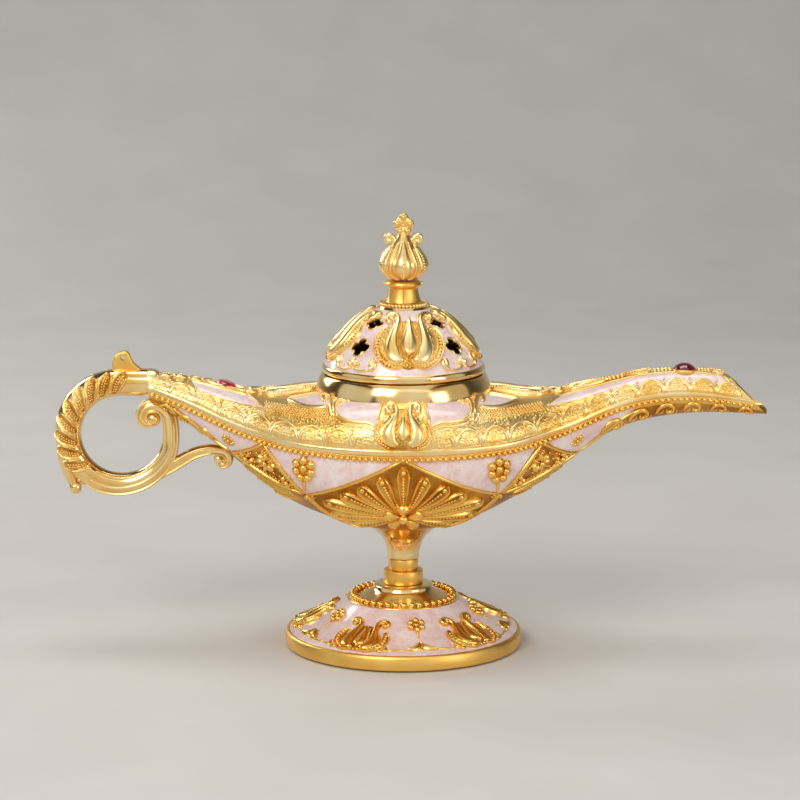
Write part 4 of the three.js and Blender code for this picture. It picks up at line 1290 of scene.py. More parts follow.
def grapes():
    bunch = Motif()
    for place in GRAPES:
        bunch.bead(place, 1.32, 0.35)
    bunch.stroke([(0, -2.6), (0, 0), (0, 2.8)], [1.2, 2.4, 2.6, 2.4, 1.2], 0.6, section="plate", stations=10)
    bunch.row([(-0.1, -4.6), (-0.1, -8.4)], (0.6, 0.4), 1.05, 0.2)
    return bunch


def star_flower(size):
    flower = Motif()
    for number in range(8):
        turn = math.radians(45 * number)
        out = size * np.array([math.cos(turn), math.sin(turn)])
        flower.stroke([0.5 * out, 1.2 * out, 2.1 * out], 0.42 * size, 0.9 * size, "leaf", stations=7)
    return flower.bead((0, 0), 0.6 * size, 0.4 * size)


def leaf_star(count, length, width):
    star = Motif()
    for number in range(count):
        turn = 2 * math.pi * number / count
        out = np.array([math.cos(turn), math.sin(turn)])
        star.stroke([0.5 * out, 0.5 * length * out, length * out], width, 1.1, "leaf", "ridged", 8)
        star.bead(1.08 * length * out, 0.36, 0.2)
    return star.bead((0, 0), 0.9, 0.6)


grapes().tell("bunch of grapes")
star_flower(1.0).tell("star flower")

# %% Side triangles


def side_triangle(top, near, far):
    """Raised edges with beaded lines, leafy stars in the middle and the lower corners, a flower on top."""
    top, near, far = (np.array(corner, dtype=float) for corner in (top, near, far))
    heart = 0.46 * top + 0.27 * near + 0.27 * far
    motif = Motif()
    for corner in (near, far):
        motif.stroke([top, mix(top, corner, 0.5), corner], 0.55, 0.8, stations=24)
        motif.row([mix(mix(top, corner, 0.5), heart, 0.2), mix(corner, heart, 0.2)], 0.4, 0.98, 0.15)
        motif.add(leaf_star(5, 2.4, 0.7), mix(heart, corner, 0.55))
    motif.stroke([near, mix(near, far, 0.5) + (0, -0.6), far], 0.5, 0.75, stations=24)
    motif.row([mix(near, heart, 0.24), mix(far, heart, 0.24)], 0.4, 0.98, 0.15)
    motif.add(leaf_star(8, 3.3, 0.9), heart)
    return motif.add(star_flower(0.6), mix(heart, top, 0.55))


fields = Motif()
fields.add(grapes(), (-28.6, -5.6)).add(grapes(), (27.4, -5.8))
fields.add(star_flower(1.0), (-51.0, -4.3)).add(star_flower(1.0), (50.8, -4.6))
fields.add(side_triangle((-40.6, -1.0), (-28.6, -15.6), (-50.6, -9.2)))
fields.add(side_triangle((40.2, -1.0), (28.2, -15.8), (51.4, -10.4)))
fields.tell("ornament of the fields")
bowl_relief.carve(fields, on_bowl)

# %% Running scrolls
SPOUT_SCROLLS = 6
SPOUT_SCROLL_START = 61.8
SPOUT_SCROLL_STEP = 7.9
HANDLE_SCROLLS = 3
HANDLE_SCROLL_START = -58.5
HANDLE_SCROLL_STEP = 5.6


def running_scroll(size):
    scroll = Motif()
    scroll.stroke([(-3.1, -1.5), (-1.9, 0.6), (0.2, 1.4), (1.8, 0.3), (1.2, -1.2), (0, -1.0), (0.1, -0.1)],
                  [0.3, 0.5, 0.62, 0.6, 0.5, 0.45, 0.4], 0.8, stations=22)
    scroll.stroke([(-2.4, -1.9), (-1.2, -1.2), (-0.8, -0.2)], 0.3, 0.5, "leaf", stations=8)
    for x, y in ((1.9, -1.8), (2.7, -1.2), (2.6, -2.2)):
        scroll.bead((x, y), 0.3)
    return Motif().add(scroll, scale=size)


scrolls = Motif()
for number in range(SPOUT_SCROLLS):
    x = SPOUT_SCROLL_START + SPOUT_SCROLL_STEP * number
    size = np.interp(x, [62, 102], [1.3, 0.85])
    scrolls.add(running_scroll(size), (x, np.interp(x, [62, 74, 102], [-5.2, -3.5, -2.5])))
for number in range(HANDLE_SCROLLS):
    x = HANDLE_SCROLL_START - HANDLE_SCROLL_STEP * number
    scrolls.add(running_scroll(0.95), (x, np.interp(x, [-70, -59], [-3.4, -6.6])), mirror=True)
scrolls.stroke([(51.4, -10.6), (55.5, -9.4), (60, -6.4), (65, -3.4), (69, -2.0)], 0.42, 0.7, stations=30)
scrolls.stroke([(-51.0, -9.4), (-55.5, -8.2), (-61, -5.2), (-68, -2.2)], 0.42, 0.7, stations=30)
bowl_relief.carve(scrolls, on_bowl)
hand_over(bowl_relief.and_back().piece(), "bowl_relief", shade_deepened_gold, "lamp", "gold")

# %% [markdown]
# ## The lid
# The lid is a pierced dome of gold under a skin of enamel that ends at a rounded gold rim, with a plug that
# sits in the neck. Dome and skin are spun from the same profile. The smoke holes are cut with one set of
# four-lobed punches: a lobed disc is extruded once, copied to its eight places square to the dome, and
# taken away from the shell and the skin with a Boolean modifier.

# %% Dome, plug and skin
DOME = [(23.9, 1.6), (22.5, 4.7), (20.2, 8.6), (15.4, 13.9), (10.6, 17.5), (7.2, 19.4)]
LID_TURN = 4.5
LID_RIM = [(23.8, 0.35), (24.1, 0.6), (24.25, 1.2), (24.1, 2.0), (23.75, 2.6), (23.4, 2.75)]
LID_WALL = 1.9
LID_RECESS = 0.45
PLUG_RADIUS = 21.9
STUD_HOLE = 1.9

dome = smooth_path(DOME, 60) + (0, NECK_TOP)


def at_seat(outline):
    return [(radius, height + NECK_TOP) for radius, height in outline]


lid_shell = spun([*at_seat([(PLUG_RADIUS - 1.5, -4), (PLUG_RADIUS, -4), (PLUG_RADIUS, 0.35), *LID_RIM]),
                  *offset_line(dome[3::3], -LID_RECESS),
                  *at_seat([(7.0, 20), (STUD_HOLE, 20), (STUD_HOLE, 17.5)]),
                  *offset_line(dome[::3], -LID_WALL)[::-1], *at_seat([(PLUG_RADIUS - 1.5, 1.2)])], 160, 0.12)
lid_skin = spun([*offset_line(dome[2::2], ENAMEL_PROUD),
                 *offset_line(dome[2::2], -ENAMEL_DEPTH)[::-1]], 160, 0)
print("lid of", len(lid_shell.data.polygons), "faces, skin of", len(lid_skin.data.polygons))

# %% Smoke holes
# Each hole's middle as radius and height, its half width and its half height.
HOLES = [((19.2, 9.8), 3.1, 2.7), ((13.0, 15.8), 2.9, 2.1)]
LOBE_DEPTH = 0.34
HOLE_CORNERS = 40
HOLE_REACH = 3.5
# A short step along the dome, which gives a punch its directions.
PROBE = 0.2


def lobes(count):
    around = np.linspace(0, 2 * math.pi, count, endpoint=False)
    reach = 1 - LOBE_DEPTH + LOBE_DEPTH * np.abs(np.cos(2 * around)) ** 0.5
    return np.stack([reach * np.cos(around), reach * np.sin(around)], axis=-1)


start()
bpy.ops.mesh.primitive_circle_add(vertices=HOLE_CORNERS, radius=MM, fill_type="NGON")
punch = bpy.context.object
move_points(punch, np.concatenate([lobes(HOLE_CORNERS), np.full((HOLE_CORNERS, 1), -1)], axis=1))
edit(punch)
bpy.ops.mesh.extrude_region_move(TRANSFORM_OT_translate={"value": (0, 0, 2 * MM)})
close_up(punch)
punch_blank = Blank(punch)


def hole_height(place):
    """How far up the dome's profile a hole's middle lies."""
    nearest = np.argmin(np.linalg.norm(dome - (place[0], place[1] + NECK_TOP), axis=1))
    return float(np.linalg.norm(np.diff(dome[:nearest + 1], axis=0), axis=1).sum())


def punches(extra):
    """All eight punches, larger by extra, each turned to stand square to the dome."""
    cutter = Relief()
    for place, wide, tall in HOLES:
        up = hole_height(place)
        for column in range(4):
            chart = round_chart(dome, LID_TURN + 45 + 90 * column)
            (centre, beside, above), normals = chart(np.array([[0, up], [PROBE, up], [0, up + PROBE]]))
            axes = np.array([(beside - centre) / PROBE, (above - centre) / PROBE, normals[0]])
            size = (wide + extra, tall + extra, HOLE_REACH)
            cutter.copies(punch_blank, (centre + (punch_blank.points * size) @ axes)[None])
    return cutter.piece()


for piece, extra in ((lid_shell, 0.0), (lid_skin, 0.2)):
    cutter = punches(extra)
    modify(piece, "BOOLEAN", object=cutter, operation="DIFFERENCE", solver="EXACT")
    bpy.data.objects.remove(cutter)
    soften(piece, EDGE_ANGLE)
hand_over(lid_shell, "lid_shell", polished, "lid", "gold", "lid_dome")
hand_over(lid_skin, "lid_enamel_skin", enamel, "lid", "enamel", "lid_enamel")

# %% [markdown]
# ## Ornament of the lid
# Four lotuses stand round the lid. The one in front is drawn as the camera sees it and the other three are
# turned copies, so that it looks right from where the lamp is seen most. Sprouts and swags grow between
# them under the holes, and each hole has a thin raised rim.

# %% Lotuses of the lid
# Millimetres round the dome become an angle at this radius.
DOME_TURN_RADIUS = 18.0
LID_LOTUS_PLACE = (1.6, 0)
TEETH = 8
FEATHERS = 12
FEATHER_LINE = [(9.3, 11.6), (10.1, 14.4), (9.7, 17.2), (8.4, 19.6), (6.6, 21.2)]


def dome_surface(u, v):
    up = np.linspace(0, 0.5, len(dome))
    radius = along(*zip(up[::6], dome[::6, 0]))(v)
    height = along(*zip(up[::6], dome[::6, 1]))(v)
    angle = u / DOME_TURN_RADIUS
    return np.stack([radius * np.sin(angle), -radius * np.cos(angle), height], axis=-1)


LID_LOTUS = lotus(
    (12.7, 24.4, 2.65),
    ([(0.9, 11.9), (2.7, 11.9), (4.3, 13.0), (4.9, 15.2), (4.7, 17.6), (4.1, 19.8), (3.5, 21.8), (3.1, 23.6),
      (3.7, 24.7), (4.9, 25.0), (6.1, 24.3), (6.2, 23.1), (5.3, 22.6), (4.8, 23.2)],
     [0.5, 1.6, 2.4, 2.5, 2.1, 1.7, 1.4, 1.15, 1.0, 0.9, 0.85, 0.85, 0.75, 0.5]),
    ([(1.2, 9.9), (4.8, 9.7), (7.5, 11.4), (9.0, 14.0), (9.3, 16.4), (8.7, 18.5), (7.4, 20.4), (6.6, 21.2)],
     [0.4, 0.8, 1.05, 1.15, 1.15, 1.0, 0.8, 0.35]),
    0.4, (8.9, 23.4, [3.0, 8.0, 9.8, 10.0, 9.6, 8.6, 6.8, 5.6, 4.6]))
comb = Motif()
for number in range(TEETH):
    x = 1.2 + 0.98 * number
    foot = 10.1 - 0.45 * math.sin(math.pi * number / (TEETH - 1)) + (0.9 if number == TEETH - 1 else 0)
    comb.stroke([(x, foot), (0.92 * x, foot + 0.9), (0.84 * x, foot + 1.9)], 0.36, 1.15, "tail", stations=7)
for x, y in smooth_path(FEATHER_LINE, FEATHERS):
    comb.stroke([(x, y), (x - 0.7, y + 0.15), (x - 1.7, y - 0.1)], 0.26, 1.0, "leaf", stations=6)
side_leaf = Motif()
side_leaf.stroke([(9.9, 11.2), (10.6, 10.0), (11.4, 10.3), (10.9, 11.9), (10.2, 12.4)],
                 [0.4, 0.6, 0.7, 0.6, 0.3], 0.6, stations=12)
lid_drawn = Motif()
for motif in (LID_LOTUS, comb.both(), side_leaf.both()):
    lid_drawn.add(motif, LID_LOTUS_PLACE)
lid_drawn.tell("lotus of the lid")
lid_relief = Relief().carve(lid_drawn, seen_on(dome_surface, 1, 0.2))

# %% Sprouts, swags and hole rims
SPROUT_ROOT = np.array([0, 3.0])

sprout = Motif()
for turn in (-58, 0, 58):
    lean = np.array([math.sin(math.radians(turn)), math.cos(math.radians(turn))])
    leaf = [SPROUT_ROOT + reach * lean for reach in (0.2, 1.6, 3.1)]
    sprout.stroke(leaf, 0.85, 0.9, "leaf", "ridged", 9)
swag = Motif()
swag.stroke([(0.3, 3.0), (2.4, 2.1), (4.4, 2.1), (6.0, 2.7)], 0.42, 0.7, stations=14)
swag.stroke([(5.2, 2.3), (6.6, 2.9), (7.0, 4.5), (6.3, 5.8)], [0.4, 1.0, 0.9, 0.3], 0.9, section="ridged",
            stations=12)
sprout.add(swag.both())
rims = Motif()
for place, wide, tall in HOLES:
    ring = lobes(24) * (wide + 0.3, tall + 0.3) + (0, hole_height(place))
    rims.stroke(np.concatenate([ring, ring[:2]]), 0.26, 0.42, stations=60)
lid_relief.carve(Motif().add(sprout).add(rims), round_chart(dome, LID_TURN + 45))
hand_over(lid_relief.and_round(4).piece(), "lid_relief", pale, "lid", "gold")

# %% [markdown]
# ## The finial
# A coned sleeve stands on the lid in a ring of beads. The bulb over it is a lotus bud with a ribbed front
# and back, two scrolls on its shoulders and a cluster of five round petals at the top. Sleeve and bud are
# spun, and what isn't round is carved, copied or bent onto them.

# %% Sleeve with its seam
SLEEVE_BASE = NECK_TOP + 20.2
BULB_BASE = SLEEVE_BASE + 7.3
SLEEVE = [(STUD_HOLE, 0), (6.4, 0), (6.6, 0.4), (6.2, 0.7), (5.25, 0.9), (4.8, 2.4), (4.2, 4.9), (4.4, 5.2),
          (5.0, 5.5), (5.35, 6.1), (5.0, 6.8), (4.5, 7.1), (STUD_HOLE, 7.1)]
SEAM_SIZE = np.array([0.42, 1.9, 4])
SEAM_MIDDLE = np.array([0, -4.9, SLEEVE_BASE + 3])

sleeve = spun([(radius, height + SLEEVE_BASE) for radius, height in SLEEVE], 96, 0.12)
start()
bpy.ops.mesh.primitive_cube_add(size=1, location=SEAM_MIDDLE * MM, scale=SEAM_SIZE * MM)
seam = bpy.context.object
modify(seam, "BEVEL", width=0.05 * MM, segments=2)
modify(sleeve, "BOOLEAN", object=seam, operation="DIFFERENCE", solver="EXACT")
bpy.data.objects.remove(seam)
soften(sleeve, EDGE_ANGLE)
hand_over(sleeve, "finial_cone", satin, "lid", "gold", "finial_sleeve")

# %% Bud
BUD = [(3.6, 0.2), (5.4, 1.7), (6.9, 3.4), (7.25, 4.7), (6.8, 6.2), (5.8, 7.8), (4.4, 9.6), (3.2, 11.2),
       (2.1, 12.8), (1.1, 13.9)]

bud_face = smooth_path(BUD, 36) + (0, BULB_BASE)
bud = spun([(0, BULB_BASE + 0.2), *bud_face, (0.7, BULB_BASE + 16.2), (0, BULB_BASE + 16.6)], 80, 0.1)
hand_over(bud, "finial_bud", pale, "lid", "gold", "finial_bulb")

# %% Ribs and dotted lines of the bud, and the beads under the sleeve
SLEEVE_BEADS = 40
SLEEVE_BEAD_RING = 6.75

bud_half = Motif()
bud_half.stroke([(0.9, 0.6), (2.9, 2.2), (3.9, 4.6), (3.5, 7.4), (2.6, 10.0), (1.7, 12.4), (1.2, 14.2)],
                0.5, 0.8, stations=28)
bud_half.stroke([(2.6, 0.8), (6.2, 2.6), (7.9, 5.2), (7.2, 8.2), (5.2, 11.0), (3.4, 13.0)],
                [0.6, 1.9, 2.6, 2.2, 1.4, 0.5], 0.45, section="pillow", stations=24)
bud_half.row([(3.6, 1.8), (4.9, 4.6), (4.5, 7.8), (3.2, 11.2)], 0.3, 0.7, 0.06)
bud_half.row([(4.6, 2.0), (6.9, 4.8), (6.4, 8.0), (4.3, 11.2)], 0.34, 0.76, 0.34)
bud_drawn = bud_half.both()
bud_drawn.stroke([(0, 1.3), (0, 5.8), (0, 14.8)], [0.3, 1.9, 2.5, 2.3, 1.8, 1.3, 0.8, 0.3], 1.2,
                 section="pillow", stations=24)
bud_drawn.row([(0, 3.0), (0, 12.0)], 0.32, 0.72, 1.14)
bud_drawn.tell("front of the bud")


def bead_circle(count, ring, up, radius):
    """Beads at equal steps round a turned piece."""
    circle = Motif()
    for number in range(count):
        circle.bead((2 * math.pi * ring * number / count, up), radius)
    return circle


finial_relief = Relief()
for turn in (0, 180):
    finial_relief.carve(bud_drawn, round_chart(bud_face, turn))
flat_ring = [(SLEEVE_BEAD_RING, SLEEVE_BASE + 0.1), (SLEEVE_BEAD_RING, SLEEVE_BASE + 0.9)]
finial_relief.carve(bead_circle(SLEEVE_BEADS, SLEEVE_BEAD_RING, 0.2, 0.56), round_chart(flat_ring))

# %% Petals on top
PETAL_CLUSTER = [(-1.05, 14.5), (1.05, 14.5), (-1.9, 16.6), (1.9, 16.6), (0, 18.6)]
BUTTON = [(0, 1.3), (0.36, 1.24), (0.56, 0.9), (0.76, 1.1), (1.06, 0.95), (1.24, 0), (1.06, -0.95),
          (0.76, -1.1), (0.56, -0.9), (0.36, -1.24), (0, -1.3)]

start()
bpy.ops.mesh.primitive_circle_add(vertices=len(BUTTON), radius=MM)
button = bpy.context.object
move_points(button, [(radius, 0, height) for radius, height in BUTTON])
edit(button)
bpy.ops.mesh.spin(steps=18, angle=2 * math.pi, center=(0, 0, 0), axis=(0, 0, 1))
bpy.ops.mesh.select_all(action="SELECT")
bpy.ops.transform.rotate(value=math.pi / 2, orient_axis="X", center_override=(0, 0, 0))
close_up(button)
button_blank = Blank(button)
petals = [button_blank.points + (x, 0, BULB_BASE + z) for x, z in PETAL_CLUSTER]
finial_relief.copies(button_blank, np.array(petals))
for size, up in (((2.3, 0.8, 3.0), 16.4), ((0.8, 1.5, 0.8), 16.3)):
    finial_relief.copies(bead_blank, bead_blank.points[None] * size + (0, 0, BULB_BASE + up))
print(len(petals), "petals on top of the bud")

# %% [markdown]
# Scrolls that stand free, such as those on the finial and the whole handle, are bars of round section bent
# along a line in the side view. The same kind of blank serves: a round bar extruded station by station.

# %% Round bars along a line
TUBE_SIDES = 20
SECTIONS["tube"] = [(math.cos(2 * math.pi * side / TUBE_SIDES), math.sin(2 * math.pi * side / TUBE_SIDES))
                    for side in range(TUBE_SIDES)]


class Tube:
    """A line of x and z in the middle plane, with a radius for each share of its points."""

    def __init__(self, points, radii, stations):
        points = np.array(points, dtype=float)
        index = np.linspace(0, len(points) - 1, stations)
        lines = [along(*enumerate(points[:, axis])) for axis in (0, 1)]
        flat = np.stack([line(index) for line in lines], axis=-1)
        self.stations = stations
        self.centre = np.stack([flat[:, 0], np.zeros(stations), flat[:, 1]], axis=-1)
        self.radius = along(*radii)(index / (len(points) - 1))
        heading = np.gradient(self.centre, axis=0)
        heading /= np.linalg.norm(heading, axis=1, keepdims=True)
        self.side = np.cross((0, -1, 0), heading)
        self.length = np.concatenate([[0], np.cumsum(np.linalg.norm(np.diff(self.centre, axis=0), axis=1))])

    def add_to(self, relief):
        blank = bar("tube", self.stations)
        station = np.rint(blank.points[:, 0] * (self.stations - 1)).astype(int)
        across = blank.points[:, 1:2] * self.side[station]
        front = blank.points[:, 2:3] * np.array([0, -1, 0])
        relief.copies(blank, (self.centre[station] + (across + front) * self.radius[station][:, None])[None])

    def chart(self, drawn):
        """Drawn as the distance along and the distance round from the front."""
        share = np.clip(drawn[:, 0], 0, self.length[-1])
        centre = np.stack([np.interp(share, self.length, self.centre[:, axis]) for axis in range(3)], axis=-1)
        side = np.stack([np.interp(share, self.length, self.side[:, axis]) for axis in range(3)], axis=-1)
        radius = np.interp(share, self.length, self.radius)[:, None]
        angle = drawn[:, 1:] / radius
        normal = np.cos(angle) * np.array([0, -1, 0]) + np.sin(angle) * side
        return centre + radius * normal, normal


def spiral(centre, first, turn, radius, shrink, count):
    """Points of a scroll that winds inwards; angles are in half turns."""
    wound = np.linspace(0, turn * math.pi, count + 1)
    reach = radius * np.exp(-shrink * np.abs(wound))
    angle = first * math.pi + wound
    return list(zip(centre[0] + reach * np.cos(angle), centre[1] + reach * np.sin(angle)))


def knob(relief, place, radius):
    relief.copies(bead_blank, (np.array([place[0], 0, place[1]]) + bead_blank.points * radius)[None])


print("round bars have", TUBE_SIDES, "sides")

# %% Scrolls of the finial
CURL = [(3.3, 9.4), (2.9, 11.0), (3.2, 12.4), (4.3, 13.1), (5.1, 12.3), (4.8, 11.2), (4.0, 11.5)]
for sign in (1, -1):
    line = [(sign * x, BULB_BASE + z) for x, z in CURL]
    Tube(line, [[0, 1.1], [0.4, 0.95], [0.8, 0.75], [1, 0.6]], 30).add_to(finial_relief)
    knob(finial_relief, line[-1], 0.85)
    knob(finial_relief, (sign * 5.3, SLEEVE_BASE + 6.2), 0.62)
hand_over(finial_relief.piece(), "finial_relief", pale, "lid", "gold")

# %% [markdown]
# ## The handle
# The handle is one bent bar that thins towards its scroll, with a branch to the bowl, a bud at its back and
# a lug with a hole on top. A curve with a bevel could make the bar, but a bar built station by station
# knows its own length and sides, so the carving can follow it. The upper half is carved with slanting lobes
# and dots, the lower half has raised lines along it, as on a moulding.

# %% Bars of the handle
RING_MIDDLE = np.array([-84.2, 64.0])
RING_RADIUS = 15.4
SCROLL_MIDDLE = (-75.2, 68.6)
BRANCH_SCROLL = (-54.0, 55.9)


def on_ring(degrees):
    angle = math.radians(degrees)
    return RING_MIDDLE + RING_RADIUS * np.array([math.cos(angle), math.sin(angle)])


handle = Relief()
ring_line = [(-75.75, 79.4), (-79, 79.4), *[on_ring(angle) for angle in range(95, 346, 25)],
             *spiral(SCROLL_MIDDLE, 0, 1.9, 5.85, 0.297, 9)]
ring = Tube(ring_line, [[0, 4.1], [0.2, 4], [0.4, 3.5], [0.6, 2.3], [0.75, 1.9], [1, 1]], 150)
branch_line = [(-74.3, 51.4), (-68.6, 54.2), (-62.8, 57.6), (-58, 59),
               *spiral(BRANCH_SCROLL, 0.6, -1.7, 3, 0.22, 8)]
branch = Tube(branch_line, [[0, 2.2], [0.3, 1.6], [0.6, 1.4], [1, 0.9]], 80)
tail = Tube([(-99.4, 66), (-100.6, 61), (-100.4, 55), (-98.8, 50), (-97.8, 47.6)],
            [[0, 2.4], [0.3, 2.5], [0.6, 1.9], [0.85, 1.35], [1, 1.6]], 30)
tenon = Tube([(-77, 79.4), (-76, 79.4), (-75, 79.2), (-74, 79)], [[0, 3.3], [1, 3.1]], 6)
for bent in (ring, branch, tail, tenon):
    bent.add_to(handle)
knob(handle, ring_line[-1], 2.3)
knob(handle, branch_line[-1], 1.75)
knob(handle, (-97.7, 47.6), 2.0)
print("handle bar", round(float(ring.length[-1]), 1), "mm long, branch", round(float(branch.length[-1]), 1))

# %% Lobes, dots and raised lines
LOBES = 9
LOBE_PITCH = 4.2
FIRST_LOBE = 8.4
# Half the width of the carved band, measured round the bar.
CARVED = 4.0


def round_front(tube, degrees, first, last, count=12):
    """A line along a tube at one angle from its front, positive towards the ring's middle."""
    away = np.linspace(first, last, count)
    return np.stack([away, np.radians(degrees) * np.interp(away, tube.length, tube.radius)], axis=-1)


carved = Motif()
for number in range(LOBES):
    at = FIRST_LOBE + LOBE_PITCH * number
    lobe = [(at - 2.2, -0.95 * CARVED), (at - 1.0, -0.45 * CARVED), (at + 0.5, 0.1 * CARVED),
            (at + 2.0, 0.7 * CARVED)]
    carved.stroke(lobe, [0.6, 1.8, 2.2, 1.5, 0.8], 0.95, "line", "rimmed", 18)
    carved.stroke([(x + 1.9, y) for x, y in lobe], [0.3, 0.5, 0.6, 0.3], 0.8, "leaf", "pillow", 16)
    for side in (-0.36, 0.36):
        dotted = [(at - 0.9 + side, -0.5 * CARVED), (at + 0.4 + side, 0.0), (at + 1.4 + side, 0.45 * CARVED)]
        carved.row(dotted, 0.31, 0.72, 0.45)
    carved.bead((at + 2.5, 0.78 * CARVED), 0.42, 0.1)
carved.tell("carving of the handle")
LINES_START = FIRST_LOBE + LOBE_PITCH * LOBES + 1.5
lines = Motif()
for degrees, wide in ((-48, 0.36), (-8, 0.42), (40, 0.36)):
    lines.stroke(round_front(ring, degrees, LINES_START, ring.length[-1] - 1), wide, 0.6, stations=110)
branch_lines = Motif()
for degrees in (-35, 30):
    branch_lines.stroke(round_front(branch, degrees, 0.5, branch.length[-1] - 0.8), 0.3, 0.48, stations=70)
tail_lines = Motif()
tail_lines.stroke(round_front(tail, 0, 2, tail.length[-1] - 1.2), [0.3, 0.6, 0.5, 0.3], 0.4, stations=20)
handle_relief = Relief()
handle_relief.carve(Motif().add(carved).add(lines), ring.chart)
handle_relief.carve(branch_lines, branch.chart).carve(tail_lines, tail.chart)
hand_over(handle.piece(), "handle_bars", polished, "lamp", "gold", "handle")
hand_over(handle_relief.and_back().piece(), "handle_relief", pale, "lamp", "gold")

# %% Lug
LUG = [(-86.0, 82.4), (-86.2, 84.6), (-85.9, 86.2), (-85.2, 87.5), (-84.0, 88.5), (-82.7, 88.9),
       (-81.5, 88.7), (-80.9, 87.8), (-80.6, 86.7), (-79.9, 85.5), (-78.6, 84.2), (-77.2, 83.3),
       (-77.4, 82.0), (-82, 81.4)]
LUG_HOLE = (-83.0, 86.8)
LUG_HOLE_RADIUS = 0.7
LUG_THICK = 2.4

start()
bpy.ops.mesh.primitive_circle_add(vertices=len(LUG), radius=MM, fill_type="NGON")
lug = bpy.context.object
move_points(lug, [(x, -LUG_THICK / 2, z) for x, z in LUG])
edit(lug)
bpy.ops.mesh.extrude_region_move(TRANSFORM_OT_translate={"value": (0, LUG_THICK * MM, 0)})
close_up(lug)
modify(lug, "BEVEL", width=0.55 * MM, segments=4, limit_method="ANGLE")
start()
bpy.ops.mesh.primitive_cylinder_add(
    vertices=24, radius=LUG_HOLE_RADIUS * MM, depth=6 * MM, rotation=(math.pi / 2, 0, 0),
    location=(LUG_HOLE[0] * MM, 0, LUG_HOLE[1] * MM))
drill = bpy.context.object
modify(lug, "BOOLEAN", object=drill, operation="DIFFERENCE", solver="EXACT")
bpy.data.objects.remove(drill)
soften(lug, 35)
hand_over(lug, "handle_lug", satin, "lamp", "gold")

# %% [markdown]
# ## The crest and the stones
# Leaves, beads and curls run along the ridge from the lid to both ends. They are drawn in plan on the upper
# shell. The stones are seated in the crest: a dark cabochon on the spout and a bright cut stone on the
# handle side. The cabochon is spun. The cut stone is extruded upwards in courses that shrink and turn by
# half a side, which gives it its facets.

# %% A leaf and a run of beads along the ridge


def ridge_leaf(first, last, wide, high):
    """A leaf along the ridge with a beaded edge; its round end is at last."""
    leaf = Motif()
    span = last - first
    edge = [(first, 0.15), (first + 0.3 * span, 0.6 * wide), (first + 0.62 * span, wide),
            (first + 0.86 * span, 0.85 * wide), (last, 0.15)]
    for sign in (1, -1):
        side = [(x, sign * y) for x, y in edge]
        leaf.stroke(side, 0.4, 0.8, stations=24)
        leaf.row(side, 0.42, 0.95, 0.75)
        blade = [(first + 0.12 * span, sign * 0.22 * wide), (first + 0.55 * span, sign * 0.5 * wide),
                 (first + 0.9 * span, sign * 0.3 * wide)]
        leaf.stroke(blade, [0.2, 0.36 * wide, 0.34 * wide], 0.85 * high, "leaf", "pillow", 16)
    rib = [(first + 0.06 * span, 0), (first + 0.5 * span, 0), (first + 0.95 * span, 0)]
    leaf.stroke(rib, 0.3 * wide, high, "drop", "ridged", 18)
    return leaf


def bead_run(first, last, count, size):
    run = Motif()
    for x in np.linspace(first, last, count):
        run.bead((x, 0), size, 0.35).bead((x, 1.05), 0.8 * size, 0.2).bead((x, -1.05), 0.8 * size, 0.2)
    return run


ridge_leaf(0, 17, 4.6, 1.7).tell("leaf along the ridge")

# %% Crest on the spout's side
RIDGE_CURL = [(43.6, 0.3), (44.6, 1.8), (46.2, 2.2), (46.9, 1.1), (46.0, 0.6)]

curls = Motif()
for sign in (1, -1):
    curls.stroke([(x, y * sign) for x, y in RIDGE_CURL], [0.4, 0.6, 0.6, 0.5, 0.4], 0.9, stations=16)
curls.bead((45.2, 0), 0.6).bead((47.2, 0), 0.5)
near_lid = Motif().add(ridge_leaf(26.2, 43.2, 4.6, 1.7)).add(curls)
spout_side = Motif().add(near_lid).add(ridge_leaf(60.2, 47.6, 2.9, 1.6)).add(bead_run(61.2, 64.8, 4, 0.68))
spout_side.add(ridge_leaf(65.6, 73.2, 1.9, 1.3)).add(bead_run(74.4, 78.8, 5, 0.62))
spout_side.add(bead_run(87.4, 90.2, 4, 0.6)).add(ridge_leaf(91.0, 94.8, 1.5, 1.1))
spout_side.tell("crest on the spout's side")
crest = Relief().carve(spout_side, from_above)

# %% Crest on the handle's side
GEM_HANDLE = -52.8
TIP_CURL = [(2.0, 0.2), (1.2, 1.5), (-0.3, 1.7), (-1.1, 0.6), (-0.2, 0.1)]
TIP_CURLS = [(-62.2, 0.75), (-66.6, 1.0), (-71.0, 0.9)]

handle_side = Motif().add(near_lid, turn=180)
setting = Motif()
for sign in (1, -1):
    for near in (1, -1):
        arm = [(7.2 * near, 0.1), (4.6 * near, 1.9 * sign), (0, 3.0 * sign)]
        setting.stroke([(GEM_HANDLE + x, y) for x, y in arm], 0.4, 0.9, stations=16)
        leaf = [(6.6 * near, 0.1), (4.6 * near, 0.75 * sign), (3.4 * near, 0.4 * sign)]
        setting.stroke([(GEM_HANDLE + x, y) for x, y in leaf], 0.5, 0.8, "leaf", stations=10)
handle_side.add(setting)
for place, size in TIP_CURLS:
    for sign in (1, -1):
        handle_side.stroke([(place + x, y * sign) for x, y in TIP_CURL], [0.4, 0.6, 0.65, 0.55, 0.4],
                           1.2 * size, stations=16)
    handle_side.bead((place, 0), size)
handle_side.tell("crest on the handle's side")
crest.carve(handle_side, from_above)
collar = Tube([(-75.45, 79.4), (-74.5, 79.4), (-73, 79.0), (-71.3, 78.6), (-69.5, 78.2)],
              [[0, 4.1], [0.25, 4.1], [0.5, 3.7], [0.75, 3.1], [1, 2.5]], 20)
collar.add_to(crest)

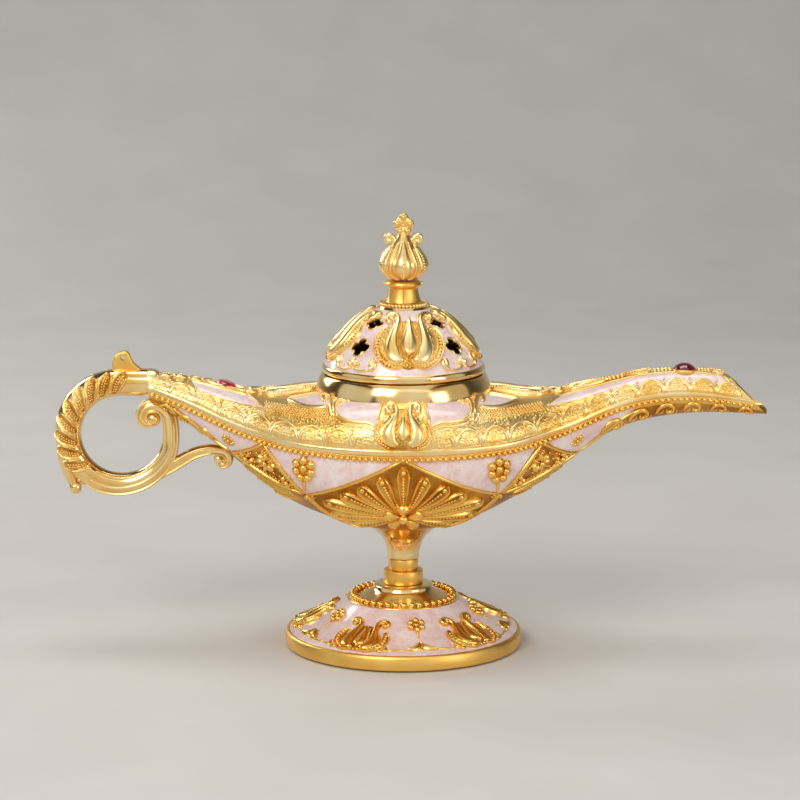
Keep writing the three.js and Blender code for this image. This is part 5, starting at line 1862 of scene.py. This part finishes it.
# %% Bezels and the cabochon
GEM_SPOUT = 83.2
BEZEL = [(2.85, -0.6), (3.7, -0.6), (3.75, 0.2), (3.55, 0.5), (3.3, 0.55), (2.9, 0.3)]
CABOCHON = [(0, 2.3), (1.0, 2.2), (2.0, 1.8), (2.8, 1.2), (3.3, 0.6), (3.25, 0.4), (2.85, 0.2),
            (2.85, -0.5), (0, -0.5)]


def seat_on_ridge(piece, x):
    """Moves a piece made upright at the origin onto the ridge and leans it with the ridge."""
    (place, ahead), normals = from_above(np.array([[x, 0.0], [x + 0.1, 0.0]]))
    along_ridge = (ahead - place) / np.linalg.norm(ahead - place)
    axes = np.array([along_ridge, np.cross(normals[0], along_ridge), normals[0]])
    move_points(piece, place + points_of(piece) @ axes)
    return piece


for name, x in (("bezel_spout", GEM_SPOUT), ("bezel_handle", GEM_HANDLE)):
    hand_over(seat_on_ridge(spun(BEZEL, 48, 0.12), x), name, satin, "lamp", "gold")
cabochon = seat_on_ridge(spun(CABOCHON, 48, 0), GEM_SPOUT)
hand_over(cabochon, "stone_cabochon", dark_stone, "lamp", "ruby", "gem_spout")

# %% The cut stone
STONE_SIDES = 12
STONE_RADIUS = 2.85
STONE_FOOT = -0.5
# Each course of facets as its rise and its size against the one below.
FACETS = [(1.3, 1.1), (0.55, 0.8), (0.3, 0.66)]

start()
bpy.ops.mesh.primitive_circle_add(
    vertices=STONE_SIDES, radius=STONE_RADIUS * MM, fill_type="NGON", location=(0, 0, STONE_FOOT * MM))
cut_stone = bpy.context.object
edit(cut_stone)
for rise, shrink in FACETS:
    bpy.ops.mesh.extrude_region_move(TRANSFORM_OT_translate={"value": (0, 0, rise * MM)})
    bpy.ops.transform.resize(value=(shrink, shrink, 1))
    bpy.ops.transform.rotate(value=math.pi / STONE_SIDES, orient_axis="Z", center_override=(0, 0, 0))
bpy.ops.mesh.select_all(action="SELECT")
bpy.ops.mesh.quads_convert_to_tris()
close_up(cut_stone)
bpy.ops.object.transform_apply(location=True, rotation=True, scale=True)
modify(cut_stone, "BEVEL", width=0.04 * MM, segments=1, limit_method="ANGLE")
hand_over(seat_on_ridge(cut_stone, GEM_HANDLE), "stone_cut", bright_stone, "lamp", "ruby", "gem_handle")
hand_over(crest.piece(), "crest_relief", pale, "lamp", "gold")

# %% [markdown]
# ## Ornament of the foot
# Five lotuses stand round the foot with flowers of six beads between them. One of each is carved on the
# slope and turned copies make the others. A ring of beads closes the gold crown.

# %% Lotus of the foot
LOTUSES = 5
LOTUS_TURN = -26.2

foot_lotus = lotus(
    (2.6, 12.8, 2.1),
    ([(0.8, 2.5), (2.4, 2.6), (3.6, 3.9), (3.9, 6.2), (3.3, 9.0), (2.7, 11.2), (2.6, 13.0), (3.2, 14.3),
      (4.4, 14.7), (5.5, 14.0), (5.4, 12.9), (4.5, 12.7), (4.2, 13.4)],
     [0.5, 1.4, 2.1, 2.0, 1.7, 1.4, 1.1, 0.95, 0.85, 0.85, 0.8, 0.7, 0.5]),
    ([(1.2, 1.5), (4.4, 1.6), (6.7, 3.4), (7.5, 5.8), (7.0, 8.4), (5.6, 10.6)],
     [0.5, 0.9, 1.1, 1.15, 1.0, 0.4]),
    0.5, (1.5, 13.0, [3.2, 6.4, 7.5, 7.6, 6.8, 5.4, 4.2, 3.4, 2.6]))
foot_lotus.row([(1.7, 3.4), (2.2, 5.6), (1.1, 11.0)], 0.3, 0.68, 0.7)
foot_lotus.row([(-1.2, 1.4), (1.2, 1.4)], 0.48, 1.1, 0.4)
corner = Motif()
corner.stroke([(6.2, 2.2), (8.0, 1.6), (9.2, 2.4), (8.9, 3.6), (8.0, 3.4)], [0.4, 0.5, 0.55, 0.5, 0.35], 0.7,
              stations=14)
foot_lotus.add(corner.both())
foot_lotus.tell("lotus of the foot")

# %% Flowers and the beads of the crown
FLOWER_HEIGHT = 13.7
FLOWER_RING = 1.85
CROWN_BEADS = 40
CROWN_BEAD_RING = 14.8

flower = Motif()
for petal in range(6):
    angle = math.radians(60 * petal)
    flower.bead((FLOWER_RING * math.sin(angle), FLOWER_HEIGHT + FLOWER_RING * math.cos(angle)), 0.98, 0.2)
flower.bead((0, FLOWER_HEIGHT), 0.7, 0.3)
for drop, radius in ((3.2, 0.46), (4.2, 0.4), (5.1, 0.34)):
    flower.bead((0, FLOWER_HEIGHT - drop), radius)
side_leaf = Motif()
side_leaf.stroke([(0.1, 6.2), (1.3, 3.9), (4.6, 2.3)], [0.4, 1.3, 1.15, 0.3], 1.0, section="ridged",
                 stations=14)
side_leaf.stroke([(4.2, 2.4), (6.8, 2.7), (9.0, 2.3), (10.8, 2.4)], 0.28, 0.45, stations=14)
flower.add(side_leaf.both()).stroke([(0, 2.0), (0, 4.0)], 0.6, 0.6, "leaf", stations=8)
foot_relief = Relief()
foot_relief.carve(foot_lotus, round_chart(slope, LOTUS_TURN))
foot_relief.carve(flower, round_chart(slope, LOTUS_TURN + 180 / LOTUSES))
foot_relief.and_round(LOTUSES)
crown_ring = [(CROWN_BEAD_RING, 14.5), (CROWN_BEAD_RING, 15.5)]
foot_relief.carve(bead_circle(CROWN_BEADS, CROWN_BEAD_RING, 0.6, 1.0), round_chart(crown_ring))
hand_over(foot_relief.piece(), "foot_relief", shade_deepened_gold, "lamp", "gold")

# %% [markdown]
# ## Floor and light
# The lamp stands on a plain pale sweep. Gold shows mostly what it reflects, so small lamps alone would
# leave it dark with a few hard spots. Pale panels stand in front, at both sides and above for it to mirror,
# a smaller key, fill, top and rim light shape it, and the room between them stays darker.

# %% Floor
# Floor and lights are in metres.
FLOOR_WIDTH = 9.0
FLOOR_FRONT = -5.0
FLOOR_BACK = 1.3
WALL_HEIGHT = 1.6
SWEEP = 0.7

start()
bpy.ops.mesh.primitive_plane_add(size=1)
floor = bpy.context.object
edit(floor)
bpy.ops.transform.resize(value=(FLOOR_WIDTH, FLOOR_BACK - FLOOR_FRONT, 1))
bpy.ops.transform.translate(value=(0, (FLOOR_FRONT + FLOOR_BACK) / 2, 0))
edit(floor, lambda point: point.y * MM > 0)
bpy.ops.mesh.extrude_region_move(TRANSFORM_OT_translate={"value": (0, 0, WALL_HEIGHT)})
modify(floor, "BEVEL", width=SWEEP, segments=16, limit_method="ANGLE")
soften(floor, 60)


def pale_floor():
    finish = Finish("pale_floor")
    place = finish.coordinates()
    mottle = finish.noise(place, 0.02, 3)
    colour = finish.ramp(mottle, (0.3, (0.66, 0.64, 0.61)), (0.7, (0.7, 0.68, 0.65)))
    return finish.done(Base_Color=colour, Roughness=0.55 + 0.1 * mottle)


floor.name = "floor"
floor.data.materials.append(pale_floor())
print("floor", FLOOR_WIDTH, "m wide and", FLOOR_BACK - FLOOR_FRONT, "m deep")

# %% Room
ROOM_TONE = (0.55, 0.53, 0.5, 1)
ROOM_STRENGTH = 0.1

world = bpy.data.worlds.new("studio")
bpy.context.scene.world = world
world.use_nodes = True
room = world.node_tree.nodes["Background"]
room.inputs["Color"].default_value = ROOM_TONE
room.inputs["Strength"].default_value = ROOM_STRENGTH
bpy.context.scene.view_settings.view_transform = "Standard"
print("room at strength", ROOM_STRENGTH)

# %% Lights and panels
TARGET = (0, 0, 0.07)
PANEL_TINT = (1, 0.98, 0.95)


def soft_light(name, place, size, power, colour=(1, 1, 1)):
    start()
    bpy.ops.object.light_add(type="AREA", location=place)
    light = bpy.context.object
    light.name = name
    light.data.shape = "RECTANGLE"
    light.data.size, light.data.size_y = size
    light.data.energy = power
    light.data.color = colour
    aim = Vector(TARGET) - Vector(place)
    light.rotation_euler = aim.to_track_quat("-Z", "Y").to_euler()
    print("light", name, power, "W")


soft_light("key", (-0.45, -0.85, 0.75), (0.5, 0.36), 4.2, (1, 0.97, 0.92))
soft_light("fill", (0.75, -0.65, 0.35), (0.36, 0.5), 1.8, (1, 0.96, 0.9))
soft_light("front", (0.0, -1.5, 0.7), (2.3, 1.4), 6.8, PANEL_TINT)
soft_light("left", (-1.3, -0.5, 0.6), (1.5, 1.1), 2.8, PANEL_TINT)
soft_light("right", (1.3, -0.5, 0.6), (1.5, 1.1), 2.5, PANEL_TINT)
soft_light("high", (0.0, -0.6, 1.2), (1.6, 1.0), 3.2, PANEL_TINT)
soft_light("top", (0.0, 0.1, 0.95), (0.7, 0.36), 2.5)
soft_light("rim", (-0.7, 0.6, 0.5), (0.3, 0.5), 2.6)
